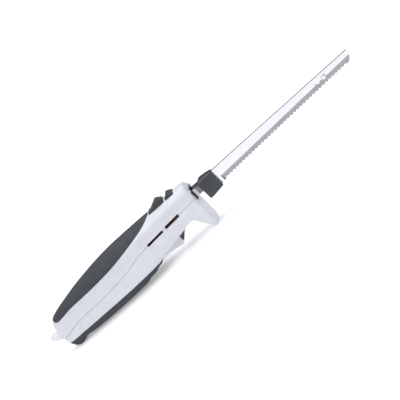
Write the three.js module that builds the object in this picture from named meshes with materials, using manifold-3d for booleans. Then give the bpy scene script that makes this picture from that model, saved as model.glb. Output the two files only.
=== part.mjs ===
// An electric knife with two reciprocating saw blades, 429 mm long, as an assembly of separate pieces.
// Millimetres. +X runs forward along the blades, +Z is up, +Y is the knife's left side.
// The floor is z = 0: the knife stands on its heel foot and on the tip of its finger guard.
import * as THREE from "three";
import { mergeVertices } from "three/addons/utils/BufferGeometryUtils.js";
import Module from "manifold-3d";

const wasm = await Module();
wasm.setup();

// ---------- driving dimensions ----------
const TAIL = -215; // rear end of the handle
const NOSE = -4.5; // flat front of the handle
const BLADE_TIP = 214.5;
const GAP = 0.3; // clearance between pieces that touch
const GRIP_SKIN = 1.6; // thickness of the soft grips
const WALL = 3.6; // skin to hollow of the shells
const MOTOR_Z = 26.5; // height of the motor's axis
const GEAR_X = -68; // the drive gear turns about an axis along Y
const GEAR_Z = 40.5;
const THROW = 3; // eccentric throw, half of each blade's stroke
const BLADE_THICK = 1.2;
const CORD_RADIUS = 3.1;

// ---------- materials ----------
function material(color, roughness, metalness = 0) {
  return new THREE.MeshStandardMaterial({ color, roughness, metalness });
}
const white = material(0xe4e6ee, 0.35);
const slate = material(0x40484e, 0.6);
const darkPlastic = material(0x2b2f33, 0.5);
const brown = material(0x6b3f22, 0.6);
const steel = material(0xc6cacd, 0.25, 1);
const iron = material(0x6d7073, 0.5, 0.9);
const copper = material(0xb4622d, 0.35, 1);
const brass = material(0xc9a24a, 0.3, 1);
const carbon = material(0x1d1d1f, 0.8);

// ---------- the group ----------
const group = new THREE.Group();
group.name = "uncapping_knife";

function piece(name, geometry, look) {
  const mesh = new THREE.Mesh(geometry, look);
  mesh.name = name;
  group.add(mesh);
  return mesh;
}

// ---------- solids ----------
function solid(geometry) {
  const bare = geometry.clone();
  bare.deleteAttribute("normal");
  bare.deleteAttribute("uv");
  const merged = mergeVertices(bare, 1e-4);
  const mesh = new wasm.Mesh({
    numProp: 3,
    vertProperties: new Float32Array(merged.attributes.position.array),
    triVerts: new Uint32Array(merged.index.array),
  });
  return new wasm.Manifold(mesh);
}

function geometryOf(body) {
  const mesh = body.getMesh();
  const geometry = new THREE.BufferGeometry();
  geometry.setAttribute("position", new THREE.BufferAttribute(new Float32Array(mesh.vertProperties), 3));
  geometry.setIndex(new THREE.BufferAttribute(new Uint32Array(mesh.triVerts), 1));
  geometry.computeVertexNormals();
  return geometry;
}

function join(...bodies) {
  return bodies.reduce((sum, body) => sum.add(body));
}

function cut(body, ...tools) {
  return tools.reduce((rest, tool) => rest.subtract(tool), body);
}

// The largest of a body's separate pieces: leaves off the slivers where two facetted skins graze.
function largest(body) {
  return body.decompose().reduce((best, part) => (part.volume() > best.volume() ? part : best));
}

function box(x0, x1, y0, y1, z0, z1) {
  const geometry = new THREE.BoxGeometry(x1 - x0, y1 - y0, z1 - z0);
  geometry.translate((x0 + x1) / 2, (y0 + y1) / 2, (z0 + z1) / 2);
  return solid(geometry);
}

// An outline drawn in (y, z) runs along X; one in (x, z) runs along Y; one in (x, y) runs along Z.
const alongAxis = {
  x: new THREE.Matrix4().makeBasis(
    new THREE.Vector3(0, 1, 0), new THREE.Vector3(0, 0, 1), new THREE.Vector3(1, 0, 0)),
  y: new THREE.Matrix4().makeBasis(
    new THREE.Vector3(1, 0, 0), new THREE.Vector3(0, 0, 1), new THREE.Vector3(0, -1, 0)),
  z: new THREE.Matrix4(),
};

function extrude(outline, axis, from, to, curveSegments = 6) {
  const geometry = new THREE.ExtrudeGeometry(outline, {
    depth: to - from, bevelEnabled: false, curveSegments,
  });
  geometry.applyMatrix4(alongAxis[axis]);
  const start = axis === "y" ? to : from;
  const shift = { x: [start, 0, 0], y: [0, start, 0], z: [0, 0, start] }[axis];
  geometry.translate(...shift);
  return solid(geometry);
}

function polygon(points) {
  return new THREE.Shape(points.map(([a, b]) => new THREE.Vector2(a, b)));
}

function roundedRectangle(a0, a1, b0, b1, radius) {
  const shape = new THREE.Shape();
  shape.moveTo(a0 + radius, b0);
  shape.lineTo(a1 - radius, b0);
  shape.absarc(a1 - radius, b0 + radius, radius, -Math.PI / 2, 0, false);
  shape.absarc(a1 - radius, b1 - radius, radius, 0, Math.PI / 2, false);
  shape.absarc(a0 + radius, b1 - radius, radius, Math.PI / 2, Math.PI, false);
  shape.absarc(a0 + radius, b0 + radius, radius, Math.PI, Math.PI * 1.5, false);
  return shape;
}

// A round bar along one axis; centre holds the other two coordinates in axis order.
function rod(axis, radius, from, to, centre, sides = 20) {
  const geometry = new THREE.CylinderGeometry(radius, radius, to - from, sides);
  const middle = (from + to) / 2;
  if (axis === "x") {
    geometry.rotateZ(-Math.PI / 2);
    geometry.translate(middle, centre[0], centre[1]);
  } else if (axis === "y") {
    geometry.translate(centre[0], middle, centre[1]);
  } else {
    geometry.rotateX(Math.PI / 2);
    geometry.translate(centre[0], centre[1], middle);
  }
  return solid(geometry);
}

function ring(axis, inner, outer, from, to, centre, sides = 20) {
  return cut(rod(axis, outer, from, to, centre, sides), rod(axis, inner, from - 1, to + 1, centre, sides));
}

// A smooth curve through [position, value] pairs (cubic, with the slopes of a parabola).
function through(points) {
  const slopes = points.map((_, i) => {
    const before = points[Math.max(i - 1, 0)];
    const after = points[Math.min(i + 1, points.length - 1)];
    return (after[1] - before[1]) / (after[0] - before[0]);
  });
  return (at) => {
    let i = 0;
    while (i < points.length - 2 && at > points[i + 1][0]) i += 1;
    const [a, va] = points[i];
    const [b, vb] = points[i + 1];
    const span = b - a;
    const t = Math.min(Math.max((at - a) / span, 0), 1);
    const blend = t * t * (3 - 2 * t);
    return va * (1 - blend) + vb * blend
      + span * (slopes[i] * t * (1 - t) ** 2 - slopes[i + 1] * t * t * (1 - t));
  };
}

// ---------- the handle's form ----------
const crest = through([
  [-214.5, 35], [-208, 40], [-198, 43.4], [-187, 46], [-165, 50.5], [-133, 54.8],
  [-111, 56.4], [-90, 56.8], [-58, 56.6], [-18, 56.6], [-4.5, 56.2],
]);
const belly = through([
  [-214.5, 6], [-209, 1.6], [-205, -0.3], [-200, -0.3], [-192, 2.4], [-178, 1.3], [-140, 1.2], [-113, 1.9],
  [-105, 2.4], [-98, 4.2], [-91, 4.8], [-84, 7.2], [-79.5, 8], [-75, 10.9], [-56, 14.8], [-34, 19.2],
  [-22, 21.4], [-4.5, 22],
]);
const halfWidth = through([
  [-214.5, 9.5], [-205, 12], [-186, 15.2], [-165, 18.2], [-133, 21.2], [-111, 21.5], [-90, 20.6],
  [-66, 18.6], [-36, 17], [-16, 15.2], [-4.5, 14.6],
]);
const seamHeight = through([
  [-214.5, 16.2], [-205, 18.4], [-185, 23], [-154, 25.2], [-133, 27.1], [-111, 29.5], [-90, 34],
  [-75, 35.4], [-30, 37.2], [-4.5, 38.6],
]);
const TAIL_ROUNDING = 9;
const NOSE_ROUNDING = 3.5;
const TAIL_CENTRE_Z = 24;
const UPPER_POWER = 2.5; // roundness of the section's upper half: 2 is an ellipse
const LOWER_POWER = 3.4; // the lower half is squarer

// How much of the section is left at the rounded tail (0 at the very end, 1 past the rounding).
function tailShare(x) {
  const into = Math.min((x - TAIL) / TAIL_ROUNDING, 1);
  return (1 - (1 - into) ** 2.6) ** (1 / 2.6);
}

function noseInset(x) {
  const into = Math.max(NOSE_ROUNDING - (NOSE - x), 0);
  return NOSE_ROUNDING - Math.sqrt(NOSE_ROUNDING ** 2 - into ** 2);
}

// The handle as one closed form, shrunk by inset; from and to are the ends of this copy.
function handleForm(inset, from, to, around, along) {
  const geometry = new THREE.CylinderGeometry(1, 1, 1, around, along);
  const place = geometry.attributes.position;
  for (let i = 0; i < place.count; i += 1) {
    const t = place.getY(i) + 0.5;
    const eased = 0.65 * t + 0.35 * (1 - Math.cos(Math.PI * t)) / 2;
    const x = from + (to - from) * eased;
    const radius = Math.hypot(place.getX(i), place.getZ(i));
    const angle = Math.atan2(place.getZ(i), place.getX(i));
    const trim = inset + noseInset(Math.min(x + inset, NOSE));
    const share = tailShare(Math.max(x - inset, TAIL + 0.02));
    const top = TAIL_CENTRE_Z + (crest(x) - TAIL_CENTRE_Z) * share - trim;
    const bottom = TAIL_CENTRE_Z + (belly(x) - TAIL_CENTRE_Z) * share + trim;
    const middle = (top + bottom) / 2;
    const power = 2 / (angle < 0 ? LOWER_POWER : UPPER_POWER);
    const across = Math.sign(Math.cos(angle)) * Math.abs(Math.cos(angle)) ** power;
    const upward = Math.sign(Math.sin(angle)) * Math.abs(Math.sin(angle)) ** power;
    const half = halfWidth(x) * share - trim;
    place.setXYZ(i, x, -radius * across * half, middle + radius * upward * (top - bottom) / 2);
  }
  return solid(geometry);
}

// A flat-sided block over the handle whose lower (or upper) face follows a curve of x.
function blockAbove(curve, from, to, shift, steps = 16) {
  const points = [];
  for (let i = 0; i <= steps; i += 1) {
    const x = from + (to - from) * i / steps;
    points.push([x, curve(x) + shift]);
  }
  points.push([to, 90], [from, 90]);
  return extrude(polygon(points), "y", -30, 30);
}

function blockBelow(curve, from, to, shift, steps = 16) {
  const points = [[from, -20], [to, -20]];
  for (let i = steps; i >= 0; i -= 1) {
    const x = from + (to - from) * i / steps;
    points.push([x, curve(x) + shift]);
  }
  return extrude(polygon(points), "y", -30, 30);
}

const floorBlock = box(-250, 250, -60, 60, -20, 0);
const skin = handleForm(0, TAIL, NOSE, 24, 28).subtract(floorBlock);
const bed = handleForm(GRIP_SKIN + GAP, TAIL + GRIP_SKIN + GAP, NOSE - 2, 20, 16);
const gripInner = handleForm(GRIP_SKIN, TAIL + GRIP_SKIN, NOSE - 2, 20, 16);
const hollow = handleForm(WALL, TAIL + WALL, NOSE - 3, 16, 12);

// ---------- grips ----------
const TOP_GRIP_FROM = -209.5;
const TOP_GRIP_TO = -54;
const topGripEdge = through([
  [-209.5, 41], [-207.5, 37], [-204, 34.9], [-198, 35.6], [-183, 38], [-150, 40.2], [-117, 43.2], [-96, 46.4],
  [-81, 49.1], [-66, 52.5], [-52, 57.4],
]);
const BOTTOM_GRIP_TO = -75.5;
const bottomGripEdge = through([[-214.5, 9.5], [-160, 11.1], [-100, 12], [-75, 12.2]]);

function topGrip() {
  const reach = blockAbove(topGripEdge, TOP_GRIP_FROM, TOP_GRIP_TO, 0);
  return reach.intersect(cut(skin, gripInner));
}

function bottomGrip() {
  const reach = blockBelow(bottomGripEdge, TAIL - 1, BOTTOM_GRIP_TO, 0, 8);
  return reach.intersect(cut(skin, gripInner));
}

// The skin with the beds of both grips sunk into it.
function bedded() {
  const topBed = blockAbove(topGripEdge, TOP_GRIP_FROM - GAP, TOP_GRIP_TO + GAP, -GAP);
  const bottomBed = blockBelow(bottomGripEdge, TAIL - 2, BOTTOM_GRIP_TO + GAP, GAP, 8);
  return cut(skin, topBed, bottomBed).add(bed);
}

// ---------- shells ----------
const guardOutline = [
  [-26, 24], [-22.3, 22], [-18.5, 15.5], [-15.2, 8], [-12.6, 2.4], [-10.8, 0], [-6.6, 0], [-5.2, 0.8],
  [-4.5, 2.4], [-4.5, 26], [-26, 26],
];

function fingerGuard() {
  const side = extrude(polygon(guardOutline), "y", -14.6, 14.6);
  const front = new THREE.Shape();
  front.moveTo(-14.2, 26);
  front.lineTo(-13.2, 4.5);
  front.quadraticCurveTo(-12.8, 0, -8.5, 0);
  front.lineTo(8.5, 0);
  front.quadraticCurveTo(12.8, 0, 13.2, 4.5);
  front.lineTo(14.2, 26);
  front.closePath();
  return side.intersect(extrude(front, "x", -30, NOSE, 8));
}

const NOSE_HOLE = { y: 8.2, z0: 34, z1: 46.3 };
const SEAL_RIM = 0.9;

function noseHole(margin, from, to) {
  const { y, z0, z1 } = NOSE_HOLE;
  return extrude(roundedRectangle(-y - margin, y + margin, z0 - margin, z1 + margin, 2), "x", from, to, 3);
}

function vent(x0, x1, z0, z1) {
  const slot = roundedRectangle(x0, x1, z0, z1, 1.4);
  return join(extrude(slot, "y", 9, 30, 3), extrude(slot, "y", -30, -9, 3));
}

const vents = join(vent(-74.5, -52.2, 33.9, 36.9), vent(-48, -28.5, 33.9, 37.4));
const TRIGGER_SLOT = { x0: -69.9, x1: -34.9, y: 5.9 };
const screwPlaces = [
  { name: "front_left_screw", x: -99, y: 10.5, seat: 10.8, top: 46 },
  { name: "front_right_screw", x: -99, y: -10.5, seat: 10.8, top: 46 },
  { name: "rear_left_screw", x: -191, y: 5.5, seat: 7.6, top: 34 },
  { name: "rear_right_screw", x: -191, y: -5.5, seat: 7.6, top: 34 },
];

// Screw bosses rise inside both shells; the screws come up from below, under the bottom grip.
function boss(place) {
  return rod("z", 3.1, 0, 60, [place.x, place.y], 12).intersect(bed);
}

function shell() {
  let body = cut(join(bedded(), fingerGuard()), hollow);
  for (const place of screwPlaces) body = body.add(boss(place));
  return cut(body, vents, noseHole(SEAL_RIM + GAP, NOSE - 5, NOSE + 2));
}

const shells = shell();
const CORD_EXIT = [TAIL, 0, 20.5];
const CORD_TILT = 17 * Math.PI / 180; // the strain relief rises this much towards the rear
const CORD_HOLE = { radius: 6, outward: 7, inward: 14 };

function cordHole() {
  const { radius, outward, inward } = CORD_HOLE;
  const geometry = new THREE.CylinderGeometry(radius, radius, outward + inward, 16);
  geometry.rotateZ(-Math.PI / 2);
  geometry.translate((inward - outward) / 2, 0, 0);
  geometry.rotateY(CORD_TILT);
  geometry.translate(...CORD_EXIT);
  return solid(geometry);
}

function upperHousing() {
  let body = shells.intersect(blockAbove(seamHeight, TAIL - 1, NOSE + 1, GAP / 2));
  for (const button of Object.values(buttons)) {
    const { x0, x1, y } = button;
    const hole = roundedRectangle(x0 - GAP, x1 + GAP, -y - GAP, y + GAP, 3);
    body = cut(body, extrude(hole, "z", 45, 70, 4));
  }
  for (const place of screwPlaces) {
    body = cut(body, rod("z", 1.5, 0, place.top + 1, [place.x, place.y], 12));
  }
  return largest(cut(body, cordHole()));
}

function lowerHousing() {
  let body = shells.intersect(blockBelow(seamHeight, TAIL - 1, NOSE + 1, -GAP / 2));
  const { x0, x1, y } = TRIGGER_SLOT;
  body = cut(body, box(x0, x1, -y, y, 0, 26), rod("y", PIN_HOLE, -8, 8, TRIGGER_PIVOT, 14));
  for (const place of screwPlaces) {
    const centre = [place.x, place.y];
    body = cut(body, rod("z", 1.8, -5, 60, centre, 12), rod("z", 3, -5, place.seat, centre, 12));
  }
  return largest(cut(body, cordHole()));
}

// ---------- buttons ----------
const buttons = {
  lock: {
    x0: -53.5, x1: -32.4, y: 7, press: 3,
    top: [[-53.5, 55.5], [-53.2, 56.6], [-49, 57.4], [-39.8, 62], [-38.2, 62], [-32.9, 58.4], [-32.4, 56.6]],
  },
  release: {
    x0: -29.8, x1: -19, y: 7, press: 2.5,
    top: [[-29.8, 55.5], [-29.5, 56.6], [-25.9, 59.8], [-24.9, 59.8], [-19.4, 56.8], [-19, 55.5]],
  },
};
const BUTTON_FLANGE = { z0: 48.8, z1: 50, rim: 0.7 };
const SPRING_POCKET = 3.4;

function button({ x0, x1, y, top }) {
  const profile = polygon([[x0, BUTTON_FLANGE.z0], ...top, [x1, BUTTON_FLANGE.z0]]);
  const plan = extrude(roundedRectangle(x0, x1, -y, y, 2.7), "z", 40, 70, 4);
  const cap = extrude(profile, "y", -y, y).intersect(plan);
  const { z0, z1, rim } = BUTTON_FLANGE;
  const flange = box(x0 - rim, x1 + rim, -y - rim, y + rim, z0, z1);
  const pocket = rod("z", SPRING_POCKET, z0 - 1, z0 + 5, [(x0 + x1) / 2, 0], 16);
  return cut(join(cap, flange), pocket);
}

// The middle line of a compression spring standing along Z.
class HelixCurve extends THREE.Curve {
  constructor(centre, radius, from, to, turns) {
    super();
    Object.assign(this, { centre, radius, from, to, turns });
  }

  getPoint(t, target = new THREE.Vector3()) {
    const angle = 2 * Math.PI * this.turns * t;
    const x = this.centre[0] + this.radius * Math.cos(angle);
    const y = this.centre[1] + this.radius * Math.sin(angle);
    return target.set(x, y, this.from + (this.to - this.from) * t);
  }
}

function wire(curve, radius, steps, sides = 6) {
  const section = new THREE.Shape();
  section.absarc(0, 0, radius, 0, 2 * Math.PI, false);
  const geometry = new THREE.ExtrudeGeometry(section, {
    steps, curveSegments: sides / 2, bevelEnabled: false, extrudePath: curve,
  });
  return solid(geometry);
}

function helix(centre, radius, wireRadius, from, to, turns) {
  const curve = new HelixCurve(centre, radius, from + wireRadius, to - wireRadius, turns);
  return wire(curve, wireRadius, turns * 9);
}

// ---------- trigger ----------
const TRIGGER_PIVOT = [-66.5, 18.5];
const triggerOutline = [
  [-69.3, 18], [-69, 12.2], [-66, 10.6], [-58, 9.4], [-50, 8.3], [-48.2, 8.4], [-47.5, 9.6], [-46.9, 20.8],
  [-56, 18.6], [-62, 19.3], [-65, 21.1], [-67.5, 21.2], [-69, 20],
];
const padOutline = [
  [-47.1, 10.4], [-46.2, 10.2], [-43.2, 13], [-39.2, 17], [-35.8, 19.5], [-36.2, 20.7], [-46.6, 21],
];
const TRIGGER_HALF = 5.5;
const PIN_RADIUS = 1.25;
const PIN_HOLE = 1.6;

function trigger() {
  const body = extrude(polygon(triggerOutline), "y", -TRIGGER_HALF, TRIGGER_HALF);
  return cut(body, rod("y", PIN_HOLE, -8, 8, TRIGGER_PIVOT, 14));
}

// ---------- switch ----------
const PLUNGER = { x: -50, foot: 20.75, top: 29 };
const FRAME_FLOOR = { x0: -56, x1: -34, z0: 26, z1: 27.2 };
const SWITCH = { x0: -55, x1: -39, y: 3.4, z0: 27.6, z1: 35.2 };
const TRIGGER_SPRING_X = -54.4;

function switchBody() {
  const { x0, x1, y, z0, z1 } = SWITCH;
  return cut(box(x0, x1, -y, y, z0, z1), rod("z", 1.8, z0 - 1, 33, [PLUNGER.x, 0], 14));
}

// ---------- drive ----------
const TEETH = 22;
const STARTS = 2;
const GEAR_PITCH = 10;
const WORM_PITCH = 3.6;
const GEAR_TIP = 10.7;
const GEAR_ROOT = 9;
const WORM_TIP = 4.5;
const WORM_ROOT = 2.9;
const GEAR_HALF = 3;
const SHAFT_RADIUS = 2;
const BORE = SHAFT_RADIUS + GAP;
const LEAD = STARTS * 2 * Math.PI * GEAR_PITCH / TEETH; // advance of the thread in one turn
const TIP_WIDTH = 0.55;
const ROOT_WIDTH = 1.35;
const ECCENTRIC_RADIUS = 5.6;
const ECCENTRIC_END = 7.4;
const WORM_LENGTH = 20;

// An extruded outline whose sections turn steadily about its own middle axis.
function twistedPrism(points, axis, length, steps, turnPerUnit) {
  const geometry = new THREE.ExtrudeGeometry(polygon(points), { depth: length, steps, bevelEnabled: false });
  const place = geometry.attributes.position;
  for (let i = 0; i < place.count; i += 1) {
    const z = place.getZ(i) - length / 2;
    const turn = z * turnPerUnit;
    const [x, y] = [place.getX(i), place.getY(i)];
    place.setXYZ(i, x * Math.cos(turn) - y * Math.sin(turn), x * Math.sin(turn) + y * Math.cos(turn), z);
  }
  geometry.applyMatrix4(alongAxis[axis]);
  return geometry;
}

function polar(radius, angle) {
  return [radius * Math.cos(angle), radius * Math.sin(angle)];
}

function driveGear() {
  const points = [];
  for (let i = 0; i < TEETH; i += 1) {
    const middle = 2 * Math.PI * (i + 0.5) / TEETH - Math.PI / 2;
    const [tip, root] = [TIP_WIDTH / GEAR_TIP / 2, ROOT_WIDTH / GEAR_ROOT / 2];
    points.push(polar(GEAR_ROOT, middle - root), polar(GEAR_TIP, middle - tip));
    points.push(polar(GEAR_TIP, middle + tip), polar(GEAR_ROOT, middle + root));
  }
  const helix = Math.atan(LEAD / (2 * Math.PI * WORM_PITCH));
  const geometry = twistedPrism(points, "y", 2 * GEAR_HALF, 3, Math.tan(helix) / GEAR_PITCH);
  geometry.translate(GEAR_X, 0, GEAR_Z);
  const left = rod("y", ECCENTRIC_RADIUS, GEAR_HALF - 0.5, ECCENTRIC_END, [GEAR_X, GEAR_Z + THROW], 28);
  const right = rod("y", ECCENTRIC_RADIUS, -ECCENTRIC_END, 0.5 - GEAR_HALF, [GEAR_X, GEAR_Z - THROW], 28);
  const body = join(solid(geometry), left, right);
  return cut(body, rod("y", BORE, -9, 9, [GEAR_X, GEAR_Z], 16));
}

function worm() {
  const points = [];
  const threadShare = 2 * Math.PI / LEAD; // angle round the worm for each millimetre along it
  for (let start = 0; start < STARTS; start += 1) {
    const middle = Math.PI / 2 + start * 2 * Math.PI / STARTS;
    const [tip, root] = [TIP_WIDTH / 2 * threadShare, ROOT_WIDTH / 2 * threadShare];
    points.push(polar(WORM_ROOT, middle - root), polar(WORM_TIP, middle - tip));
    points.push(polar(WORM_TIP, middle + tip), polar(WORM_ROOT, middle + root));
    for (const share of [0.25, 0.5, 0.75]) {
      points.push(polar(WORM_ROOT, middle + root + share * (2 * Math.PI / STARTS - 2 * root)));
    }
  }
  const geometry = twistedPrism(points, "x", WORM_LENGTH, 46, 2 * Math.PI / LEAD);
  geometry.translate(GEAR_X, 0, MOTOR_Z);
  return cut(solid(geometry), rod("x", BORE, -90, -50, [0, MOTOR_Z], 14));
}

const DRIVER = { y0: 3.9, y1: 7.4, armZ0: 36, armZ1: 43.9 };
const FORK_SLOT = ECCENTRIC_RADIUS + 0.6; // half width: the room a constant ratio needs
const SOCKET = { x0: -30, x1: -9.5, y0: 1.9, y1: 7.6, z0: 35, z1: 44.6 };
const TONGUE = { x0: -28, y0: 3.9, y1: 5.4, z0: 36.3, z1: 42.7 };
const NECK = { x0: -8.9, x1: 6.6, y1: 5.7, z0: 35.6, z1: 44.8 };

// A slab on the left side (side = 1) or on the right side (side = -1).
function sideBox(side, x0, x1, y0, y1, z0, z1) {
  return side > 0 ? box(x0, x1, y0, y1, z0, z1) : box(x0, x1, -y1, -y0, z0, z1);
}

function driver(side) {
  const { y0, y1, armZ0, armZ1 } = DRIVER;
  const prong = 2.4;
  const [inner, outer] = [FORK_SLOT, FORK_SLOT + prong];
  const lowest = GEAR_Z - THROW - ECCENTRIC_RADIUS - 0.5;
  const fork = join(
    sideBox(side, GEAR_X - outer, GEAR_X - inner, y0, y1, lowest - 2, 48.6),
    sideBox(side, GEAR_X + inner, GEAR_X + outer, y0, y1, lowest - 2, 48.6),
    sideBox(side, GEAR_X - outer, GEAR_X + outer, y0, y1, lowest - 2, lowest),
  );
  const arm = sideBox(side, GEAR_X + inner, SOCKET.x0 + 1, y0, y1, armZ0, armZ1);
  const socket = sideBox(side, SOCKET.x0, SOCKET.x1, SOCKET.y0, SOCKET.y1, SOCKET.z0, SOCKET.z1);
  const pocket = sideBox(side, TONGUE.x0 - 0.4, 0, TONGUE.y0 - GAP, TONGUE.y1 + GAP,
    TONGUE.z0 - GAP, TONGUE.z1 + GAP);
  return cut(join(fork, arm, socket), pocket);
}

function gearFrame() {
  const plateOutline = [
    [-84, 22], [-58, 23.6], [-34, 28], [-18.4, 33], [-18.4, 45.6], [-36, 45.8], [-60, 46], [-84, 46],
  ];
  const left = extrude(polygon(plateOutline), "y", 8.6, 10.1);
  const right = extrude(polygon(plateOutline), "y", -10.1, -8.6);
  const { x0, x1, z0, z1 } = FRAME_FLOOR;
  const floor = box(x0, x1, -9, 9, z0, z1);
  const bridge = box(-29.5, -18.4, -9, 9, 44.7, 45.6);
  const back = box(-84, -82, -9, 9, 22, 34);
  return cut(
    join(left, right, floor, bridge, back),
    rod("y", BORE, -12, 12, [GEAR_X, GEAR_Z], 16),
    rod("z", 2, z0 - 1, z1 + 1, [PLUNGER.x, 0], 14),
    rod("x", 3, -86, -80, [0, MOTOR_Z], 16),
  );
}

// ---------- motor ----------
const STACK = { x0: -150, x1: -122 };
const STATOR_BORE = 10.3;
const SCREW_OFFSET = 13.2;

function sector(inner, outer, from, to) {
  const shape = new THREE.Shape();
  shape.absarc(0, MOTOR_Z, outer, from, to, false);
  shape.absarc(0, MOTOR_Z, inner, to, from, true);
  shape.closePath();
  return shape;
}

const degrees = Math.PI / 180;

function statorCore() {
  const plan = roundedRectangle(-15.2, 15.2, MOTOR_Z - 16.2, MOTOR_Z + 16.5, 9);
  let body = extrude(plan, "x", STACK.x0, STACK.x1, 5);
  body = cut(body, rod("x", STATOR_BORE, -160, -110, [0, MOTOR_Z], 32));
  for (const middle of [0, 180]) {
    for (const [from, to] of [[-67, -32], [32, 67]]) {
      const slot = sector(9.5, 14.3, (middle + from) * degrees, (middle + to) * degrees);
      body = cut(body, extrude(slot, "x", -160, -110, 5));
    }
  }
  for (const side of [-1, 1]) body = cut(body, motorScrewHole(side));
  return body;
}

function motorScrewHole(side) {
  return rod("x", 1.6, -190, -80, [0, MOTOR_Z + side * SCREW_OFFSET], 12);
}

function fieldCoil(middle) {
  const whole = sector(11, 13.9, (middle - 65) * degrees, (middle + 65) * degrees);
  const pole = sector(10, 15, (middle - 34) * degrees, (middle + 34) * degrees);
  return cut(extrude(whole, "x", -155.5, -116.5, 8), extrude(pole, "x", -151, -121, 6));
}

function armatureCore() {
  const slots = 12;
  const points = [];
  const tooth = [ // radius and angle of each corner of one tooth
    [6.5, -0.2], [9.2, -0.16], [9.9, -0.22], [9.9, 0], [9.9, 0.22], [9.2, 0.16], [6.5, 0.2],
  ];
  for (let i = 0; i < slots; i += 1) {
    const middle = 2 * Math.PI * i / slots;
    for (const [radius, offset] of tooth) {
      const [y, z] = polar(radius, middle + offset);
      points.push([y, z + MOTOR_Z]);
    }
  }
  return cut(extrude(polygon(points), "x", STACK.x0, STACK.x1), rod("x", BORE, -160, -110, [0, MOTOR_Z], 14));
}

function lathe(profile, from, sides) {
  const points = profile.map(([radius, along]) => new THREE.Vector2(radius, along));
  const geometry = new THREE.LatheGeometry(points, sides);
  geometry.rotateZ(-Math.PI / 2);
  geometry.translate(from, 0, MOTOR_Z);
  return solid(geometry);
}

// The wire ends of the armature: a rounded ring.
function winding(from, length) {
  const profile = [
    [BORE, 0], [7.4, 0], [8.8, length * 0.3], [8.6, length * 0.7], [6, length], [BORE, length], [BORE, 0],
  ];
  return lathe(profile, from, 24);
}

function fan() {
  const blades = 9;
  const reach = 10.8;
  const disc = ring("x", BORE, reach, -111, -109.8, [0, MOTOR_Z], 27);
  const hub = ring("x", BORE, 4.4, -111, -102, [0, MOTOR_Z], 18);
  let body = join(disc, hub);
  for (let i = 0; i < blades; i += 1) {
    const blade = new THREE.BoxGeometry(6.5, 0.9, reach - 4);
    blade.translate(-106.6, 0, (reach + 4) / 2);
    blade.rotateX(2 * Math.PI * i / blades);
    blade.translate(0, 0, MOTOR_Z);
    body = body.add(solid(blade));
  }
  return body;
}

function motorBracket(from, to, halfWide, halfHigh) {
  const plan = roundedRectangle(-halfWide, halfWide, MOTOR_Z - halfHigh, MOTOR_Z + halfHigh, 6);
  return cut(
    extrude(plan, "x", from, to, 4),
    rod("x", 5 + GAP, from - 1, to + 1, [0, MOTOR_Z], 20),
    motorScrewHole(1),
    motorScrewHole(-1),
  );
}

function brushHolder(side) {
  return cut(
    sideBox(side, -170.3, -160.7, 7.2, 13.1, MOTOR_Z - 3.7, MOTOR_Z + 3.7),
    sideBox(side, -168.8, -162.2, 6, 12.5, MOTOR_Z - 2.7, MOTOR_Z + 2.7),
  );
}

function housingScrew(place) {
  const head = rod("z", 2.6, place.seat - 2, place.seat - GAP, [place.x, place.y], 14);
  return join(head, rod("z", 1.2, place.seat - 1, place.top, [place.x, place.y], 10));
}

// ---------- blades ----------
const BLADE_GAP = 0.15; // each blade's distance from the middle plane
const BLADE_TEETH = 38;
const EDGE_ROOT = [31.3, 28];
const EDGE_TIP = [206, 33.2];
const SPINE = { root: 45.3, tip: 45.8 };
const SCALLOP = 1.7;
const RIVET = [178.5, 40];
const KEYHOLE = [169.3, 40];
const KEYHOLE_SLOT_END = 186.8;
const BLADE_OUT = BLADE_GAP + BLADE_THICK;
const HOLDER_PIN = { centre: [18, 37], radius: 1.3, from: 0.2, to: 6, hole: 6.4 };

function edgeAt(t) {
  const sag = 0.9 * t * (1 - t); // the edge is a shallow arc, bowed upward
  return [
    EDGE_ROOT[0] + (EDGE_TIP[0] - EDGE_ROOT[0]) * t,
    EDGE_ROOT[1] + (EDGE_TIP[1] - EDGE_ROOT[1]) * t + sag,
  ];
}

function bladeOutline() {
  const shape = new THREE.Shape();
  shape.moveTo(-4, 35.6);
  shape.lineTo(8, 35.6);
  shape.lineTo(9.5, 29);
  shape.lineTo(26, 27);
  shape.lineTo(...EDGE_ROOT);
  for (let i = 0; i < BLADE_TEETH; i += 1) {
    const [ax, az] = edgeAt(i / BLADE_TEETH);
    const [bx, bz] = edgeAt((i + 1) / BLADE_TEETH);
    shape.quadraticCurveTo((ax + bx) / 2, (az + bz) / 2 + 2 * SCALLOP, bx, bz);
  }
  shape.quadraticCurveTo(212.4, 36.2, BLADE_TIP, 42.6);
  shape.lineTo(BLADE_TIP - 0.3, SPINE.tip - 0.3);
  shape.lineTo(BLADE_TIP - 1.2, SPINE.tip);
  shape.lineTo(8, SPINE.root);
  shape.lineTo(6, 44);
  shape.lineTo(-4, 44);
  shape.closePath();
  return shape;
}

// A large block whose top face is the plane through three points, with the block on its outer side.
function planeBlock(side, a, b, c) {
  const along = new THREE.Vector3().subVectors(b, a).normalize();
  const down = new THREE.Vector3().subVectors(c, a);
  const normal = new THREE.Vector3().crossVectors(along, down).normalize();
  if (normal.y * side < 0) normal.negate();
  const across = new THREE.Vector3().crossVectors(normal, along);
  const geometry = new THREE.BoxGeometry(400, 60, 6);
  geometry.translate(0, 0, 3);
  geometry.applyMatrix4(new THREE.Matrix4().makeBasis(along, across, normal));
  geometry.translate(a.x, a.y, a.z);
  return solid(geometry);
}

function bladeBevel(side) {
  const outer = side * BLADE_OUT;
  const edge = side * (BLADE_GAP + 0.25);
  const block = planeBlock(
    side,
    new THREE.Vector3(31, outer, 34.4),
    new THREE.Vector3(212, outer, 40.2),
    new THREE.Vector3(31, edge, 27.6),
  );
  return block.intersect(box(29, 230, -20, 20, 10, 60));
}

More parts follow.
